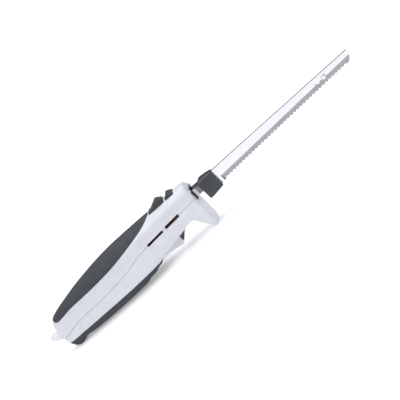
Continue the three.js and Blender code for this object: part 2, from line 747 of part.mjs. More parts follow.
function blade(side) {
  const [y0, y1] = side > 0 ? [BLADE_GAP, BLADE_OUT] : [-BLADE_OUT, -BLADE_GAP];
  let body = extrude(bladeOutline(), "y", y0, y1, 3);
  body = cut(body, bladeBevel(side), rod("y", PIN_HOLE, -8, 8, HOLDER_PIN.centre, 12));
  if (side > 0) return cut(body, rod("y", 1.5, -3, 3, RIVET, 12));
  const slot = roundedRectangle(KEYHOLE[0], KEYHOLE_SLOT_END, KEYHOLE[1] - 1.7, KEYHOLE[1] + 1.7, 1.6);
  return cut(body, rod("y", 3, -3, 3, KEYHOLE, 20), extrude(slot, "y", -3, 3, 4));
}

function bladeRivet() {
  return join(
    rod("y", 2.5, -2.4, -BLADE_OUT - GAP, RIVET, 18),
    rod("y", 1.2, -2, 2, RIVET, 12),
    rod("y", 2.2, BLADE_OUT + GAP, 2.2, RIVET, 16),
  );
}

function holderPin(side) {
  const { centre, radius, from, to } = HOLDER_PIN;
  return side > 0 ? rod("y", radius, from, to, centre, 12) : rod("y", radius, -to, -from, centre, 12);
}

const HOLDER_INNER = BLADE_OUT + GAP;

function holder(side) {
  const outline = polygon([
    [6.5, 27.4], [7.6, 26.2], [13, 26.2], [25.5, 27.6], [25.2, 45.4], [24, 46.1], [14, 46.9], [9.6, 46.9],
    [6.5, 44.6],
  ]);
  const plan = polygon([
    [6.4, HOLDER_INNER], [26, HOLDER_INNER], [25.6, 4.6], [14, 8.4], [8.2, 9.7], [6.4, 9.5],
  ].map(([x, y]) => [x, side * y]));
  const body = extrude(outline, "y", -12, 12).intersect(extrude(plan, "z", 20, 50));
  const neck = sideBox(side, NECK.x0, NECK.x1, HOLDER_INNER, NECK.y1, NECK.z0, NECK.z1);
  const collar = sideBox(side, -2.5, 1, HOLDER_INNER, NECK.y1 + 0.4, NECK.z0 - 0.4, NECK.z1 + 0.4);
  const tongue = sideBox(side, TONGUE.x0, NECK.x0 + 1, TONGUE.y0, TONGUE.y1, TONGUE.z0, TONGUE.z1);
  const [from, to] = side > 0 ? [0, HOLDER_PIN.hole] : [-HOLDER_PIN.hole, 0];
  return cut(join(body, neck, collar, tongue), rod("y", PIN_HOLE, from, to, HOLDER_PIN.centre, 12));
}

// ---------- cord ----------
// A round bar of changing radius along a curve, with flat ends.
function sleeve(curve, radiusAt, around, along) {
  const geometry = new THREE.CylinderGeometry(1, 1, 1, around, along);
  const frames = curve.computeFrenetFrames(along, false);
  const place = geometry.attributes.position;
  for (let i = 0; i < place.count; i += 1) {
    const t = place.getY(i) + 0.5;
    const step = Math.round(t * along);
    const centre = curve.getPointAt(t);
    const [a, b] = [place.getX(i) * radiusAt(t), place.getZ(i) * radiusAt(t)];
    centre.addScaledVector(frames.normals[step], a).addScaledVector(frames.binormals[step], -b);
    place.setXYZ(i, centre.x, centre.y, centre.z);
  }
  return solid(geometry);
}

function curveThrough(points) {
  return new THREE.CatmullRomCurve3(points.map((p) => new THREE.Vector3(...p)), false, "centripetal");
}

const reliefRoute = [
  [-207, 0, 18.2], [-213.5, 0, 20.3], [-219.5, 2, 21.4], [-223.6, 7.5, 20.9], [-225.3, 14, 19],
  [-225.8, 21.5, 16.5],
];
const cordRoute = [
  [-225.9, 22.4, 16.2], [-225.6, 27, 14.5], [-224.2, 34, 11.6], [-221, 43, 8.2], [-216, 51.5, 5.6],
  [-209, 59, 4], [-200, 64.6, 3.3], [-191, 67.6, 3.1], [-184, 68.7, 3.1],
];
const HANK = { x0: -199.5, x1: -60.5, y: 50.2, half: 21.6, waist: 6.6, z0: 0.1, z1: 25 };
const TIE = { x0: -133, x1: -127, thick: 0.9 };
const PLUG = { x0: -108, x1: -78, half: 11.5, z0: 25.3, z1: 37.3, prongs: 16, spacing: 6.35 };

function reliefRadius(t) {
  const rib = Math.round(t * 24) % 3 === 0 ? -0.45 : 0;
  return 5.1 - 1.1 * t + (t > 0.2 && t < 0.98 ? rib : 0);
}

function tubeAlong(points, radius) {
  return wire(curveThrough(points), radius, 14, 10);
}

// The hank's outline: two round ends joined by a waist where the tie holds the runs together.
function hankOutline() {
  const { x0, x1, half, waist } = HANK;
  const middle = (x0 + x1) / 2;
  const reach = (x1 - x0) / 2 - half;
  const upper = [];
  const steps = 10;
  for (let i = 0; i <= steps; i += 1) {
    const angle = Math.PI - Math.PI / 2 * i / steps;
    upper.push([middle - reach + half * Math.cos(angle), half * Math.sin(angle)]);
  }
  for (let i = 1; i <= steps; i += 1) {
    const share = (1 - Math.cos(Math.PI * i / steps)) / 2;
    upper.push([middle - reach + reach * i / steps, half + (waist - half) * share]);
  }
  const front = upper.slice(0, -1).reverse().map(([x, y]) => [2 * middle - x, y]);
  const top = [...upper, ...front];
  const under = top.slice(1, -1).reverse().map(([x, y]) => [x, -y]);
  return polygon([...top, ...under].map(([x, y]) => [x, y + HANK.y]).reverse());
}

function hank() {
  const { x0, x1, thick } = TIE;
  const groove = box(x0 - GAP, x1 + GAP, HANK.y - 20, HANK.y + 20, -1, thick + GAP);
  const inlet = tubeAlong([...cordRoute, [-178, 68.9, CORD_RADIUS]], CORD_RADIUS + GAP + 0.1);
  return cut(extrude(hankOutline(), "z", HANK.z0, HANK.z1), groove, inlet);
}

function tie() {
  const { x0, x1, thick } = TIE;
  const [y, inner] = [HANK.y, HANK.waist + 0.4 + GAP];
  const outside = box(x0, x1, y - inner - thick, y + inner + thick, 0, HANK.z1 + GAP + thick);
  return cut(outside, box(x0 - 1, x1 + 1, y - inner, y + inner, thick, HANK.z1 + GAP));
}

const PLUG_AXIS_Z = (PLUG.z0 + PLUG.z1) / 2;

function plugBody() {
  const { x0, x1, half, z0, z1, prongs, spacing } = PLUG;
  const y = HANK.y;
  const plan = new THREE.Shape();
  plan.moveTo(x0, y - 7);
  plan.quadraticCurveTo(x0 + 8, y - half, x1 - 8, y - half);
  plan.lineTo(x1, y - half);
  plan.lineTo(x1, y + half);
  plan.lineTo(x1 - 8, y + half);
  plan.quadraticCurveTo(x0 + 8, y + half, x0, y + 7);
  plan.closePath();
  let body = extrude(plan, "z", z0, z1, 6);
  const tail = new THREE.CylinderGeometry(5.4, 3.9, 14, 16);
  tail.rotateZ(-Math.PI / 2);
  tail.translate(x0 - 6, y, PLUG_AXIS_Z);
  body = body.add(solid(tail));
  for (const side of [-1, 1]) {
    const middle = y + side * spacing;
    body = cut(body, box(x1 - 6, x1 + 1, middle - 1.1, middle + 1.1, PLUG_AXIS_Z - 3.5, PLUG_AXIS_Z + 3.5));
  }
  return body;
}

function plugBlade(side) {
  const middle = HANK.y + side * PLUG.spacing;
  const blade0 = box(PLUG.x1 - 5.5, PLUG.x1 + PLUG.prongs, middle - 0.75, middle + 0.75,
    PLUG_AXIS_Z - 3.1, PLUG_AXIS_Z + 3.1);
  return cut(blade0, rod("y", 1.6, middle - 2, middle + 2, [PLUG.x1 + 11.5, PLUG_AXIS_Z], 12));
}

// ---------- the assembly ----------
function bodyPiece(name, body, look) {
  return piece(name, geometryOf(body), look);
}

bodyPiece("upper_housing", upperHousing(), white);
bodyPiece("lower_housing", lowerHousing(), white);
bodyPiece("top_grip", topGrip(), slate);
const screwWells = screwPlaces.map((place) => rod("z", 3.3, -5, 30, [place.x, place.y], 14));
bodyPiece("bottom_grip", cut(bottomGrip(), ...screwWells), slate);
const sealRim = noseHole(SEAL_RIM, NOSE - 2.7, NOSE + 0.8);
bodyPiece("nose_seal", cut(sealRim, noseHole(0, NOSE - 5, NOSE + 3)), darkPlastic);
bodyPiece("lock_button", button(buttons.lock), darkPlastic);
bodyPiece("release_button", button(buttons.release), darkPlastic);
const lockMiddle = (buttons.lock.x0 + buttons.lock.x1) / 2;
const releaseMiddle = (buttons.release.x0 + buttons.release.x1) / 2;
const POCKET_TOP = BUTTON_FLANGE.z0 + 5;
bodyPiece("lock_spring", helix([lockMiddle, 0], 2.4, 0.4, SWITCH.z1 + GAP, POCKET_TOP - GAP, 6), steel);
bodyPiece("release_spring", helix([releaseMiddle, 0], 2.4, 0.4, 45.9, POCKET_TOP - GAP, 4), steel);
bodyPiece("trigger", trigger(), white);
bodyPiece("trigger_pad", extrude(polygon(padOutline), "y", -TRIGGER_HALF, TRIGGER_HALF), darkPlastic);
bodyPiece("trigger_pin", rod("y", PIN_RADIUS, -7.4, 7.4, TRIGGER_PIVOT, 14), steel);
bodyPiece("trigger_spring", helix([TRIGGER_SPRING_X, 0], 1.3, 0.3, 19.5, FRAME_FLOOR.z0 - GAP, 4), steel);
bodyPiece("switch_body", switchBody(), darkPlastic);
bodyPiece("switch_plunger", rod("z", 1.4, PLUNGER.foot, PLUNGER.top, [PLUNGER.x, 0], 14), white);

bodyPiece("gear_frame", gearFrame(), brown);
bodyPiece("gear_pin", rod("y", SHAFT_RADIUS, -10, 10, [GEAR_X, GEAR_Z], 16), steel);
bodyPiece("drive_gear", driveGear(), white);
bodyPiece("left_driver", driver(1), brown);
bodyPiece("right_driver", driver(-1), brown);
bodyPiece("worm", worm(), brass);
bodyPiece("motor_shaft", rod("x", SHAFT_RADIUS, -184, -57.4, [0, MOTOR_Z], 16), steel);
bodyPiece("stator_core", statorCore(), iron);
bodyPiece("left_field_coil", fieldCoil(0), copper);
bodyPiece("right_field_coil", fieldCoil(180), copper);
bodyPiece("armature_core", armatureCore(), iron);
bodyPiece("front_winding", winding(STACK.x1 + GAP, 7), copper);
bodyPiece("rear_winding", winding(STACK.x0 - GAP - 7, 7), copper);
bodyPiece("commutator", ring("x", BORE, 6, -171, -160, [0, MOTOR_Z], 24), copper);
bodyPiece("fan", fan(), darkPlastic);
bodyPiece("front_bearing", ring("x", BORE, 5, -94, -88.5, [0, MOTOR_Z], 20), brass);
bodyPiece("rear_bearing", ring("x", BORE, 5, -179, -173, [0, MOTOR_Z], 20), brass);
bodyPiece("front_bracket", motorBracket(-93, -90, 12, 16), iron);
bodyPiece("rear_bracket", motorBracket(-177, -174, 10.5, 15.4), iron);
for (const [name, side] of [["upper_motor_screw", 1], ["lower_motor_screw", -1]]) {
  const height = MOTOR_Z + side * SCREW_OFFSET;
  bodyPiece(name, rod("x", 1.25, -178, -88.6, [0, height], 12), steel);
}
for (const [name, side] of [["left", 1], ["right", -1]]) {
  bodyPiece(`${name}_brush_holder`, brushHolder(side), brass);
  const brush = sideBox(side, -168.4, -162.6, 6.3, 12.1, MOTOR_Z - 2.4, MOTOR_Z + 2.4);
  bodyPiece(`${name}_brush`, brush, carbon);
  bodyPiece(`${name}_blade`, blade(side), steel);
  bodyPiece(`${name}_holder`, holder(side), darkPlastic);
  bodyPiece(`${name}_holder_pin`, holderPin(side), steel);
  bodyPiece(`${name}_plug_blade`, plugBlade(side), brass);
}
bodyPiece("blade_rivet", bladeRivet(), steel);
for (const place of screwPlaces) bodyPiece(place.name, housingScrew(place), steel);

bodyPiece("cord_clamp", box(-201, -197, -5.5, 5.5, 25.4, 28), darkPlastic);
bodyPiece("strain_relief", sleeve(curveThrough(reliefRoute), reliefRadius, 10, 24), white);
bodyPiece("cord_tube", tubeAlong(cordRoute, CORD_RADIUS), white);
bodyPiece("cord_hank", hank(), white);
bodyPiece("cord_tie", tie(), darkPlastic);
bodyPiece("plug_body", plugBody(), white);

export default group;
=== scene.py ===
import math

import bmesh
import bpy
from mathutils import Matrix, Vector


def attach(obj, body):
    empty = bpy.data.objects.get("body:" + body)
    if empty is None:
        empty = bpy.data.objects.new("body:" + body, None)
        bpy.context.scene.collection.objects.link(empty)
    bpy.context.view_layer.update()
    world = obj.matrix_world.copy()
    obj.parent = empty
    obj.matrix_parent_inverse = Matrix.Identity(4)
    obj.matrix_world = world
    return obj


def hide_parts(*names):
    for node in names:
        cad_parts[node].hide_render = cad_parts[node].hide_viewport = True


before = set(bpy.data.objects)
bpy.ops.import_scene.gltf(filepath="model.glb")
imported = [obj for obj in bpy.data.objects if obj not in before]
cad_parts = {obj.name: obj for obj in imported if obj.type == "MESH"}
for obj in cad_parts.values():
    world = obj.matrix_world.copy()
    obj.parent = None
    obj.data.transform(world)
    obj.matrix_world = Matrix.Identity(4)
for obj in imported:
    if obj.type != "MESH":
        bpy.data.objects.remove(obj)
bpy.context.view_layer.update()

# Outlines are in millimetres along the row frame's axes: X to the blades' tips, Z up.
# They become metres as a mesh or a curve is made.
MM = 0.001
TAIL = -215.0  # rear end of the handle
NOSE = -4.5  # flat front of the handle
SEAM_GAP = 0.35  # the fine gap between two parts of the casing
CASING_WALL = 2.0
GRIP_SKIN = 1.6
GRIP_PROUD = 0.15  # how far the soft grips stand out of the casing
CORD_RADIUS = 3.1


# ---------- helpers ----------
def metres(point):
    return Vector(point) * MM


def through(points):
    """A smooth curve through (position, value) pairs, as the casing's CAD outlines use."""
    last = len(points) - 1
    slopes = []
    for i in range(last + 1):
        before, after = points[max(i - 1, 0)], points[min(i + 1, last)]
        slopes.append((after[1] - before[1]) / (after[0] - before[0]))

    def value(at):
        i = 0
        while i < last - 1 and at > points[i + 1][0]:
            i += 1
        (a, va), (b, vb) = points[i], points[i + 1]
        span = b - a
        t = min(max((at - a) / span, 0), 1)
        blend = t * t * (3 - 2 * t)
        bend = slopes[i] * t * (1 - t) ** 2 - slopes[i + 1] * t * t * (1 - t)
        return va * (1 - blend) + vb * blend + span * bend

    return value


def smoothstep(t):
    t = min(max(t, 0), 1)
    return t * t * (3 - 2 * t)


# ---------- finishes ----------
def noise(tree, size, detail=3.0, stretch=(1, 1, 1)):
    """A noise texture whose lumps are about size millimetres, drawn out by stretch."""
    place = tree.nodes.new("ShaderNodeTexCoord")
    mapping = tree.nodes.new("ShaderNodeMapping")
    texture = tree.nodes.new("ShaderNodeTexNoise")
    mapping.inputs["Scale"].default_value = [1 / (size * MM * s) for s in stretch]
    texture.inputs["Scale"].default_value = 1
    texture.inputs["Detail"].default_value = detail
    tree.links.new(place.outputs["Object"], mapping.inputs["Vector"])
    tree.links.new(mapping.outputs["Vector"], texture.inputs["Vector"])
    return texture.outputs["Fac"]


def spread(tree, source, low, high, sharp=0.0):
    """The source's middle values spread between low and high; sharp narrows the change between them."""
    node = tree.nodes.new("ShaderNodeMapRange")
    node.inputs["From Min"].default_value = 0.3 + 0.2 * sharp
    node.inputs["From Max"].default_value = 0.7 - 0.2 * sharp
    node.inputs["To Min"].default_value = low
    node.inputs["To Max"].default_value = high
    tree.links.new(source, node.inputs["Value"])
    return node.outputs["Result"]


def mixed(tree, share, dark, light):
    node = tree.nodes.new("ShaderNodeMix")
    node.data_type = "RGBA"
    node.inputs["A"].default_value = (*dark, 1)
    node.inputs["B"].default_value = (*light, 1)
    tree.links.new(share, node.inputs["Factor"])
    return node.outputs["Result"]


def bumped(tree, height, depth, below=None):
    """A bump of depth millimetres, laid over another bump where below is given."""
    node = tree.nodes.new("ShaderNodeBump")
    node.inputs["Strength"].default_value = 1
    node.inputs["Distance"].default_value = depth * MM
    tree.links.new(height, node.inputs["Height"])
    if below is not None:
        tree.links.new(below, node.inputs["Normal"])
    return node.outputs["Normal"]


def finish(
    name, colour, roughness, grain, depth, metallic=0.0, mottle=0.04, worn=0.12, stretch=(1, 1, 1), coat=0.0,
):
    """A surface with slow colour drift, handling marks in its gloss and a fine grain, in millimetres."""
    material = bpy.data.materials.new(name)
    material.use_nodes = True
    tree = material.node_tree
    shader = tree.nodes["Principled BSDF"]
    shader.inputs["Metallic"].default_value = metallic
    shader.inputs["Coat Weight"].default_value = coat
    shader.inputs["Coat Roughness"].default_value = 0.12
    dark = tuple(c * (1 - mottle) for c in colour)
    light = tuple(min(c * (1 + mottle), 1) for c in colour)
    drift = spread(tree, noise(tree, 14), 0, 1)
    tree.links.new(mixed(tree, drift, dark, light), shader.inputs["Base Color"])
    marks = spread(tree, noise(tree, 5, 5, stretch), roughness - worn / 2, roughness + worn / 2)
    tree.links.new(marks, shader.inputs["Roughness"])
    wave = bumped(tree, noise(tree, 22, 1), 0.05)
    tree.links.new(bumped(tree, noise(tree, grain, 2, stretch), depth, wave), shader.inputs["Normal"])
    return material


WAVE_BANDS = 3.2  # bands per unit of a wave texture at scale 1


def banded(name, colour, groove, pitch, axis, roughness, metallic):
    """A wound or laminated surface: fine bands of pitch millimetres across one axis."""
    material = finish(name, colour, roughness, 0.6, 0.01, metallic)
    tree = material.node_tree
    shader = tree.nodes["Principled BSDF"]
    place = tree.nodes.new("ShaderNodeTexCoord")
    wave = tree.nodes.new("ShaderNodeTexWave")
    wave.bands_direction = axis
    wave.inputs["Scale"].default_value = 1 / (pitch * MM) / WAVE_BANDS
    wave.inputs["Distortion"].default_value = 0.6
    tree.links.new(place.outputs["Object"], wave.inputs["Vector"])
    tree.links.new(mixed(tree, wave.outputs["Fac"], groove, colour), shader.inputs["Base Color"])
    tree.links.new(bumped(tree, wave.outputs["Fac"], 0.08), shader.inputs["Normal"])
    return material


ALONG_BLADE = (40, 1, 0.5)  # brushing and grinding marks run along the blades
ACROSS_EDGE = (0.5, 1, 8)  # the cutting edge is ground across its length

white_plastic = finish("white_plastic", (0.66, 0.67, 0.72), 0.36, 0.5, 0.006, coat=0.2)
soft_grip = finish("soft_grip", (0.036, 0.042, 0.05), 0.66, 0.35, 0.03, mottle=0.12, worn=0.16)
dark_plastic = finish("dark_plastic", (0.034, 0.04, 0.046), 0.45, 0.45, 0.015, mottle=0.1)
grey_sleeve = finish("grey_sleeve", (0.5, 0.5, 0.52), 0.5, 0.4, 0.015)
# painted shade: near-black for the seal's lip, the stems in the blade opening and the strips on the necks'
# tops
black_seal = finish("black_seal", (0.012, 0.012, 0.014), 0.6, 0.4, 0.02, mottle=0.15)
blade_steel = finish(
    "blade_steel", (0.74, 0.75, 0.78), 0.22, 0.25, 0.004, 1, mottle=0.02, worn=0.08, stretch=ALONG_BLADE,
)
ground_steel = finish(
    "ground_steel", (0.34, 0.34, 0.36), 0.36, 0.25, 0.01, 1, mottle=0.06, stretch=ACROSS_EDGE,
)
# painted shade: near-black steel for the blade's upward spine faces and the rear end of the ground flank
painted_shade_steel = finish("painted_shade_steel", (0.13, 0.13, 0.14), 0.4, 0.3, 0.006, 1)
bright_steel = finish("bright_steel", (0.72, 0.73, 0.75), 0.22, 0.3, 0.006, 1)
phenolic = finish("phenolic", (0.17, 0.075, 0.03), 0.5, 0.7, 0.03, mottle=0.3)
neck_plastic = finish("neck_plastic", (0.22, 0.21, 0.25), 0.4, 0.5, 0.01, mottle=0.1)
nylon = finish("nylon", (0.72, 0.69, 0.6), 0.42, 0.6, 0.01)
brass = finish("brass", (0.68, 0.46, 0.17), 0.28, 0.3, 0.008, 1, mottle=0.1)
laminated_iron = banded("laminated_iron", (0.3, 0.3, 0.31), (0.1, 0.09, 0.09), 0.5, "X", 0.45, 0.8)
copper = banded("copper", (0.62, 0.22, 0.07), (0.2, 0.06, 0.02), 0.45, "Z", 0.32, 0.9)
carbon = finish("carbon", (0.02, 0.02, 0.021), 0.75, 0.5, 0.03, mottle=0.2)
cord_jacket = finish("cord_jacket", (0.74, 0.75, 0.78), 0.45, 0.8, 0.02)

CAD_FINISHES = {
    "lock_spring": bright_steel, "release_spring": bright_steel, "trigger_spring": bright_steel,
    "trigger_pin": bright_steel, "switch_body": dark_plastic, "switch_plunger": nylon,
    "gear_frame": phenolic, "gear_pin": bright_steel, "drive_gear": nylon,
    "left_driver": phenolic, "right_driver": phenolic, "worm": brass, "motor_shaft": bright_steel,
    "stator_core": laminated_iron, "left_field_coil": copper, "right_field_coil": copper,
    "armature_core": laminated_iron, "front_winding": copper, "rear_winding": copper,
    "commutator": copper, "fan": dark_plastic, "front_bearing": brass, "rear_bearing": brass,
    "front_bracket": laminated_iron, "rear_bracket": laminated_iron,
    "upper_motor_screw": bright_steel, "lower_motor_screw": bright_steel,
    "left_brush_holder": brass, "right_brush_holder": brass, "left_brush": carbon,
    "right_brush": carbon, "left_holder_pin": bright_steel, "right_holder_pin": bright_steel,
    "left_plug_blade": brass, "right_plug_blade": brass, "cord_clamp": dark_plastic,
    "front_left_screw": bright_steel, "front_right_screw": bright_steel,
    "rear_left_screw": bright_steel, "rear_right_screw": bright_steel,
}


def finish_cad_nodes():
    for name, material in CAD_FINISHES.items():
        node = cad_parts[name]
        node.data.materials.clear()
        node.data.materials.append(material)


# ---------- mesh helpers ----------
def new_piece(name, points, faces, material, body, replaced=()):
    """A mesh from points in millimetres, riding on a body in place of CAD nodes."""
    mesh = bpy.data.meshes.new(name)
    mesh.from_pydata([metres(p) for p in points], [], faces)
    mesh.materials.append(material)
    piece = bpy.data.objects.new(name, mesh)
    bpy.context.scene.collection.objects.link(piece)
    tidy_mesh(piece)
    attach(piece, body)
    if replaced:
        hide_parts(*replaced)
    return piece


def tidy_mesh(piece):
    """Joins points that coincide and drops faces with no area."""
    mesh = bmesh.new()
    mesh.from_mesh(piece.data)
    bmesh.ops.remove_doubles(mesh, verts=mesh.verts, dist=0.004 * MM)
    bmesh.ops.dissolve_degenerate(mesh, edges=mesh.edges, dist=0.002 * MM)
    mesh.to_mesh(piece.data)
    mesh.free()


def face_out(piece):
    mesh = bmesh.new()
    mesh.from_mesh(piece.data)
    bmesh.ops.recalc_face_normals(mesh, faces=mesh.faces)
    mesh.to_mesh(piece.data)
    mesh.free()


def apply_modifiers(piece):
    depsgraph = bpy.context.evaluated_depsgraph_get()
    mesh = bpy.data.meshes.new_from_object(piece.evaluated_get(depsgraph))
    piece.modifiers.clear()
    piece.data = mesh


def thicken(piece, thickness):
    wall = piece.modifiers.new("wall", "SOLIDIFY")
    wall.thickness = thickness * MM
    wall.offset = -1
    wall.use_even_offset = False


def round_edges(piece, width, segments=3, angle=35):
    bevel = piece.modifiers.new("round", "BEVEL")
    bevel.width = width * MM
    bevel.segments = segments
    bevel.limit_method = "ANGLE"
    bevel.angle_limit = math.radians(angle)
    bevel.harden_normals = False


def cut_with(piece, cutter):
    cut = piece.modifiers.new("cut", "BOOLEAN")
    cut.operation = "DIFFERENCE"
    cut.solver = "EXACT"
    cut.object = cutter
    apply_modifiers(piece)
    bpy.data.objects.remove(cutter)


def smooth(piece, angle=40):
    apply_modifiers(piece)
    for face in piece.data.polygons:
        face.use_smooth = True
    piece.data.set_sharp_from_angle(angle=math.radians(angle))
    return piece


def rounded_outline(outline, radius, steps=4):
    """An outline with each corner rounded, the radius held back where its sides are short."""
    rounded = []
    for i, corner in enumerate(outline):
        here = Vector(corner)
        before, after = Vector(outline[i - 1]), Vector(outline[(i + 1) % len(outline)])
        back, ahead = before - here, after - here
        reach = min(radius, back.length * 0.45, ahead.length * 0.45)
        a = here + back.normalized() * reach
        b = here + ahead.normalized() * reach
        for k in range(steps + 1):
            t = k / steps
            rounded.append(tuple(a * (1 - t) ** 2 + here * 2 * t * (1 - t) + b * t * t))
    return rounded


def slab_points(outline, low, high):
    """Points and faces of an (x, z) outline extruded along Y from low to high."""
    count = len(outline)
    points = [(x, low, z) for x, z in outline] + [(x, high, z) for x, z in outline]
    faces = [tuple(range(count)), tuple(range(2 * count - 1, count - 1, -1))]
    for i in range(count):
        j = (i + 1) % count
        faces.append((i, i + count, j + count, j))
    return points, faces


def lofted(rings):
    """Points and faces of a closed body through rings of the same count, with flat ends."""
    count = len(rings[0])
    points = [p for ring in rings for p in ring]
    faces = [tuple(range(count)), tuple(range(len(points) - 1, len(points) - count - 1, -1))]
    for r in range(len(rings) - 1):
        for i in range(count):
            j = (i + 1) % count
            a, b = r * count, (r + 1) * count
            faces.append((a + i, b + i, b + j, a + j))
    return points, faces


# ---------- camera ----------
AZIMUTH = math.radians(15)
ELEVATION = math.radians(16)
LEAN = math.radians(41.75)  # the blades point up to the right by this much
AIM = (-4.4, -3.8, 30.5)
DISTANCE = 4.0
VIEW_WIDTH = 0.412  # metres across the picture at the object
SENSOR = 36.0


def add_camera():
    toward = Vector((
        math.sin(AZIMUTH) * math.cos(ELEVATION),
        -math.cos(AZIMUTH) * math.cos(ELEVATION),
        math.sin(ELEVATION),
    ))
    blade = Vector((1, 0, 0))
    along = (blade - toward * blade.dot(toward)).normalized()
    above = toward.cross(along)
    right = along * math.cos(LEAN) - above * math.sin(LEAN)
    up = along * math.sin(LEAN) + above * math.cos(LEAN)
    data = bpy.data.cameras.new("camera")
    data.sensor_width = SENSOR
    data.lens = SENSOR * DISTANCE / VIEW_WIDTH
    data.clip_end = 100
    camera = bpy.data.objects.new("camera", data)
    bpy.context.scene.collection.objects.link(camera)
    turn = Matrix((right, up, toward)).transposed().to_4x4()
    camera.matrix_world = Matrix.Translation(metres(AIM) + toward * DISTANCE) @ turn
    bpy.context.scene.camera = camera


# ---------- cord ----------
CORD_ROUTE = [
    (-225.9, 22.4, 16.2), (-225.6, 27, 14.5), (-224.2, 34, 11.6), (-221, 43, 8.2), (-216, 51.5, 5.6),
    (-209, 59, 4), (-200, 64.6, 3.3), (-191, 67.6, 3.1), (-184, 68.7, 3.1),
]
HANK_LEFT = -177.9  # centres of the hank's two round ends
HANK_RIGHT = -82.1
HANK_Y = 50.2
HANK_BEND = 18.5  # radius of the cord's centre line at the folds
HANK_WAIST = 3.5  # from the middle to a run's centre line, inside the tie
HANK_TURNS = 4
HANK_PITCH = 6.25
PLUG_AXIS = 31.3  # height of the plug, which lies on the hank
PLUG_TAIL = -121.0


def hank_run(share, side):
    """A point of one long run: share 0 is the left fold and 1 the right fold."""
    pinch = (1 - math.cos(2 * math.pi * share)) / 2
    offset = HANK_BEND + (HANK_WAIST - HANK_BEND) * pinch
    return HANK_LEFT + (HANK_RIGHT - HANK_LEFT) * share, HANK_Y + side * offset


def hank_fold(centre, angle):
    return centre + HANK_BEND * math.cos(angle), HANK_Y + HANK_BEND * math.sin(angle)


def hank_turn(level):
    """One turn of the hank: out, round, back and round, climbing a diameter in the last fold."""
    run_steps, fold_steps = 8, 8
    points = []
    for i in range(run_steps):
        points.append((*hank_run(i / run_steps, 1), level))
    for i in range(fold_steps):
        points.append((*hank_fold(HANK_RIGHT, math.pi * (0.5 - i / fold_steps)), level))
    for i in range(run_steps):
        points.append((*hank_run(1 - i / run_steps, -1), level))
    for i in range(fold_steps):
        rise = HANK_PITCH * smoothstep(i / fold_steps)
        points.append((*hank_fold(HANK_LEFT, math.pi * (1.5 - i / fold_steps)), level + rise))
    return points


def cord_points():
    points = list(CORD_ROUTE)
    for turn in range(HANK_TURNS):
        points += hank_turn(CORD_RADIUS + turn * HANK_PITCH)
    top = CORD_RADIUS + HANK_TURNS * HANK_PITCH
    steps = 6
    for i in range(steps + 1):
        share = i / steps
        x = HANK_LEFT + (PLUG_TAIL + 3 - HANK_LEFT) * share
        y = HANK_Y + HANK_BEND * (1 - smoothstep(share))
        z = top + (PLUG_AXIS - top) * smoothstep(2 * share - 1)
        points.append((x, y, z))
    return points


def add_cord():
    data = bpy.data.curves.new("mains_cord", "CURVE")
    data.dimensions = "3D"
    data.bevel_depth = CORD_RADIUS * MM
    data.bevel_resolution = 4
    data.resolution_u = 5
    data.use_fill_caps = True
    points = cord_points()
    spline = data.splines.new("BEZIER")
    spline.bezier_points.add(len(points) - 1)
    for knot, point in zip(spline.bezier_points, points):
        knot.co = metres(point)
        knot.handle_left_type = knot.handle_right_type = "AUTO"
    cord = bpy.data.objects.new("mains_cord", data)
    bpy.context.scene.collection.objects.link(cord)
    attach(cord, "handle")
    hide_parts("cord_tube", "cord_hank")
    return cord


# ---------- the handle's form ----------
crest = through([
    (-214.5, 35), (-208, 40), (-198, 43.4), (-187, 46), (-165, 50.5), (-133, 54.8), (-111, 56.4),
    (-90, 56.8), (-58, 56.6), (-18, 56.6), (-4.5, 56.2),
])
plain_belly = through([
    (-214.5, 6), (-209, 1.6), (-205, -0.3), (-200, -0.3), (-192, 2.4), (-178, 1.3), (-140, 1.2),
    (-113, 1.9), (-105, 2.4), (-98, 4.2), (-91, 4.8), (-84, 7.2), (-79.5, 8), (-75, 10.9),
    (-56, 14.8), (-34, 19.2), (-22, 21.4), (-4.5, 22),
])
guard_line = through([
    (-27, 20.8), (-24.6, 20.2), (-22.3, 18.6), (-18.5, 12.9), (-15.2, 6.6), (-12.6, 2), (-10.8, 0),
    (-6.6, 0), (-5.2, 0.8), (-4.5, 2.4),
])
half_width = through([
    (-214.5, 9.5), (-205, 12), (-186, 15.2), (-165, 18.2), (-133, 21.2), (-111, 21.5), (-90, 20.6),
    (-66, 18.6), (-36, 17), (-16, 15.2), (-4.5, 14.6),
])
seam_height = through([
    (-214.5, 16.2), (-205, 18.4), (-185, 23), (-154, 25.2), (-133, 27.1), (-111, 29.5), (-90, 34),
    (-75, 35.4), (-30, 37.2), (-4.5, 38.6),
])
top_grip_edge = through([
    (-209.5, 41), (-207.5, 37.6), (-204, 35.9), (-198, 36.6), (-183, 39), (-150, 41.1), (-117, 44),
    (-96, 47.2), (-81, 49.8), (-66, 53), (-52, 57.4),
])
bottom_grip_edge = through([(-214.5, 9.5), (-160, 11.1), (-100, 12), (-75, 12.2)])

TOP_GRIP_REAR = -209.5
TAIL_ROUNDING = 9.0
TAIL_POWER = 2.6
TAIL_CENTRE = 24.0
NOSE_ROUNDING = 3.5
SECTION_POWER = 2.5  # roundness of a section's upper half: 2 is an ellipse
LOWER_POWER = 3.4  # the lower half is squarer
GUARD_POWER = 4.5  # and the finger guard squarer still
GUARD_REAR = -27.0
BOTTOM_GRIP_END = -75.5
NOSE_HOLE = {"y": 8.2, "middle": 40.15, "half": 6.15, "rim": 0.9, "power": 7.0}
SEAL_ROOM = 0.25  # the casing stands this far clear of the seal
TRIGGER_SLOT = (-69.9, -34.9)
TRIGGER_HALF_SLOT = 5.9
LOCK_SLOT = (-53.9, -32)
RELEASE_SLOT = (-30.2, -18.6)
BUTTON_HALF_SLOT = 7.35
VENTS = ((-74.5, -52.2), (-48, -28.5))
VENT_BELOW_SEAM = 1.6
VENT_ABOVE_SEAM = 1.3
FRONT_VENT_TALLER = 0.7  # the front opening is a little taller than the rear one


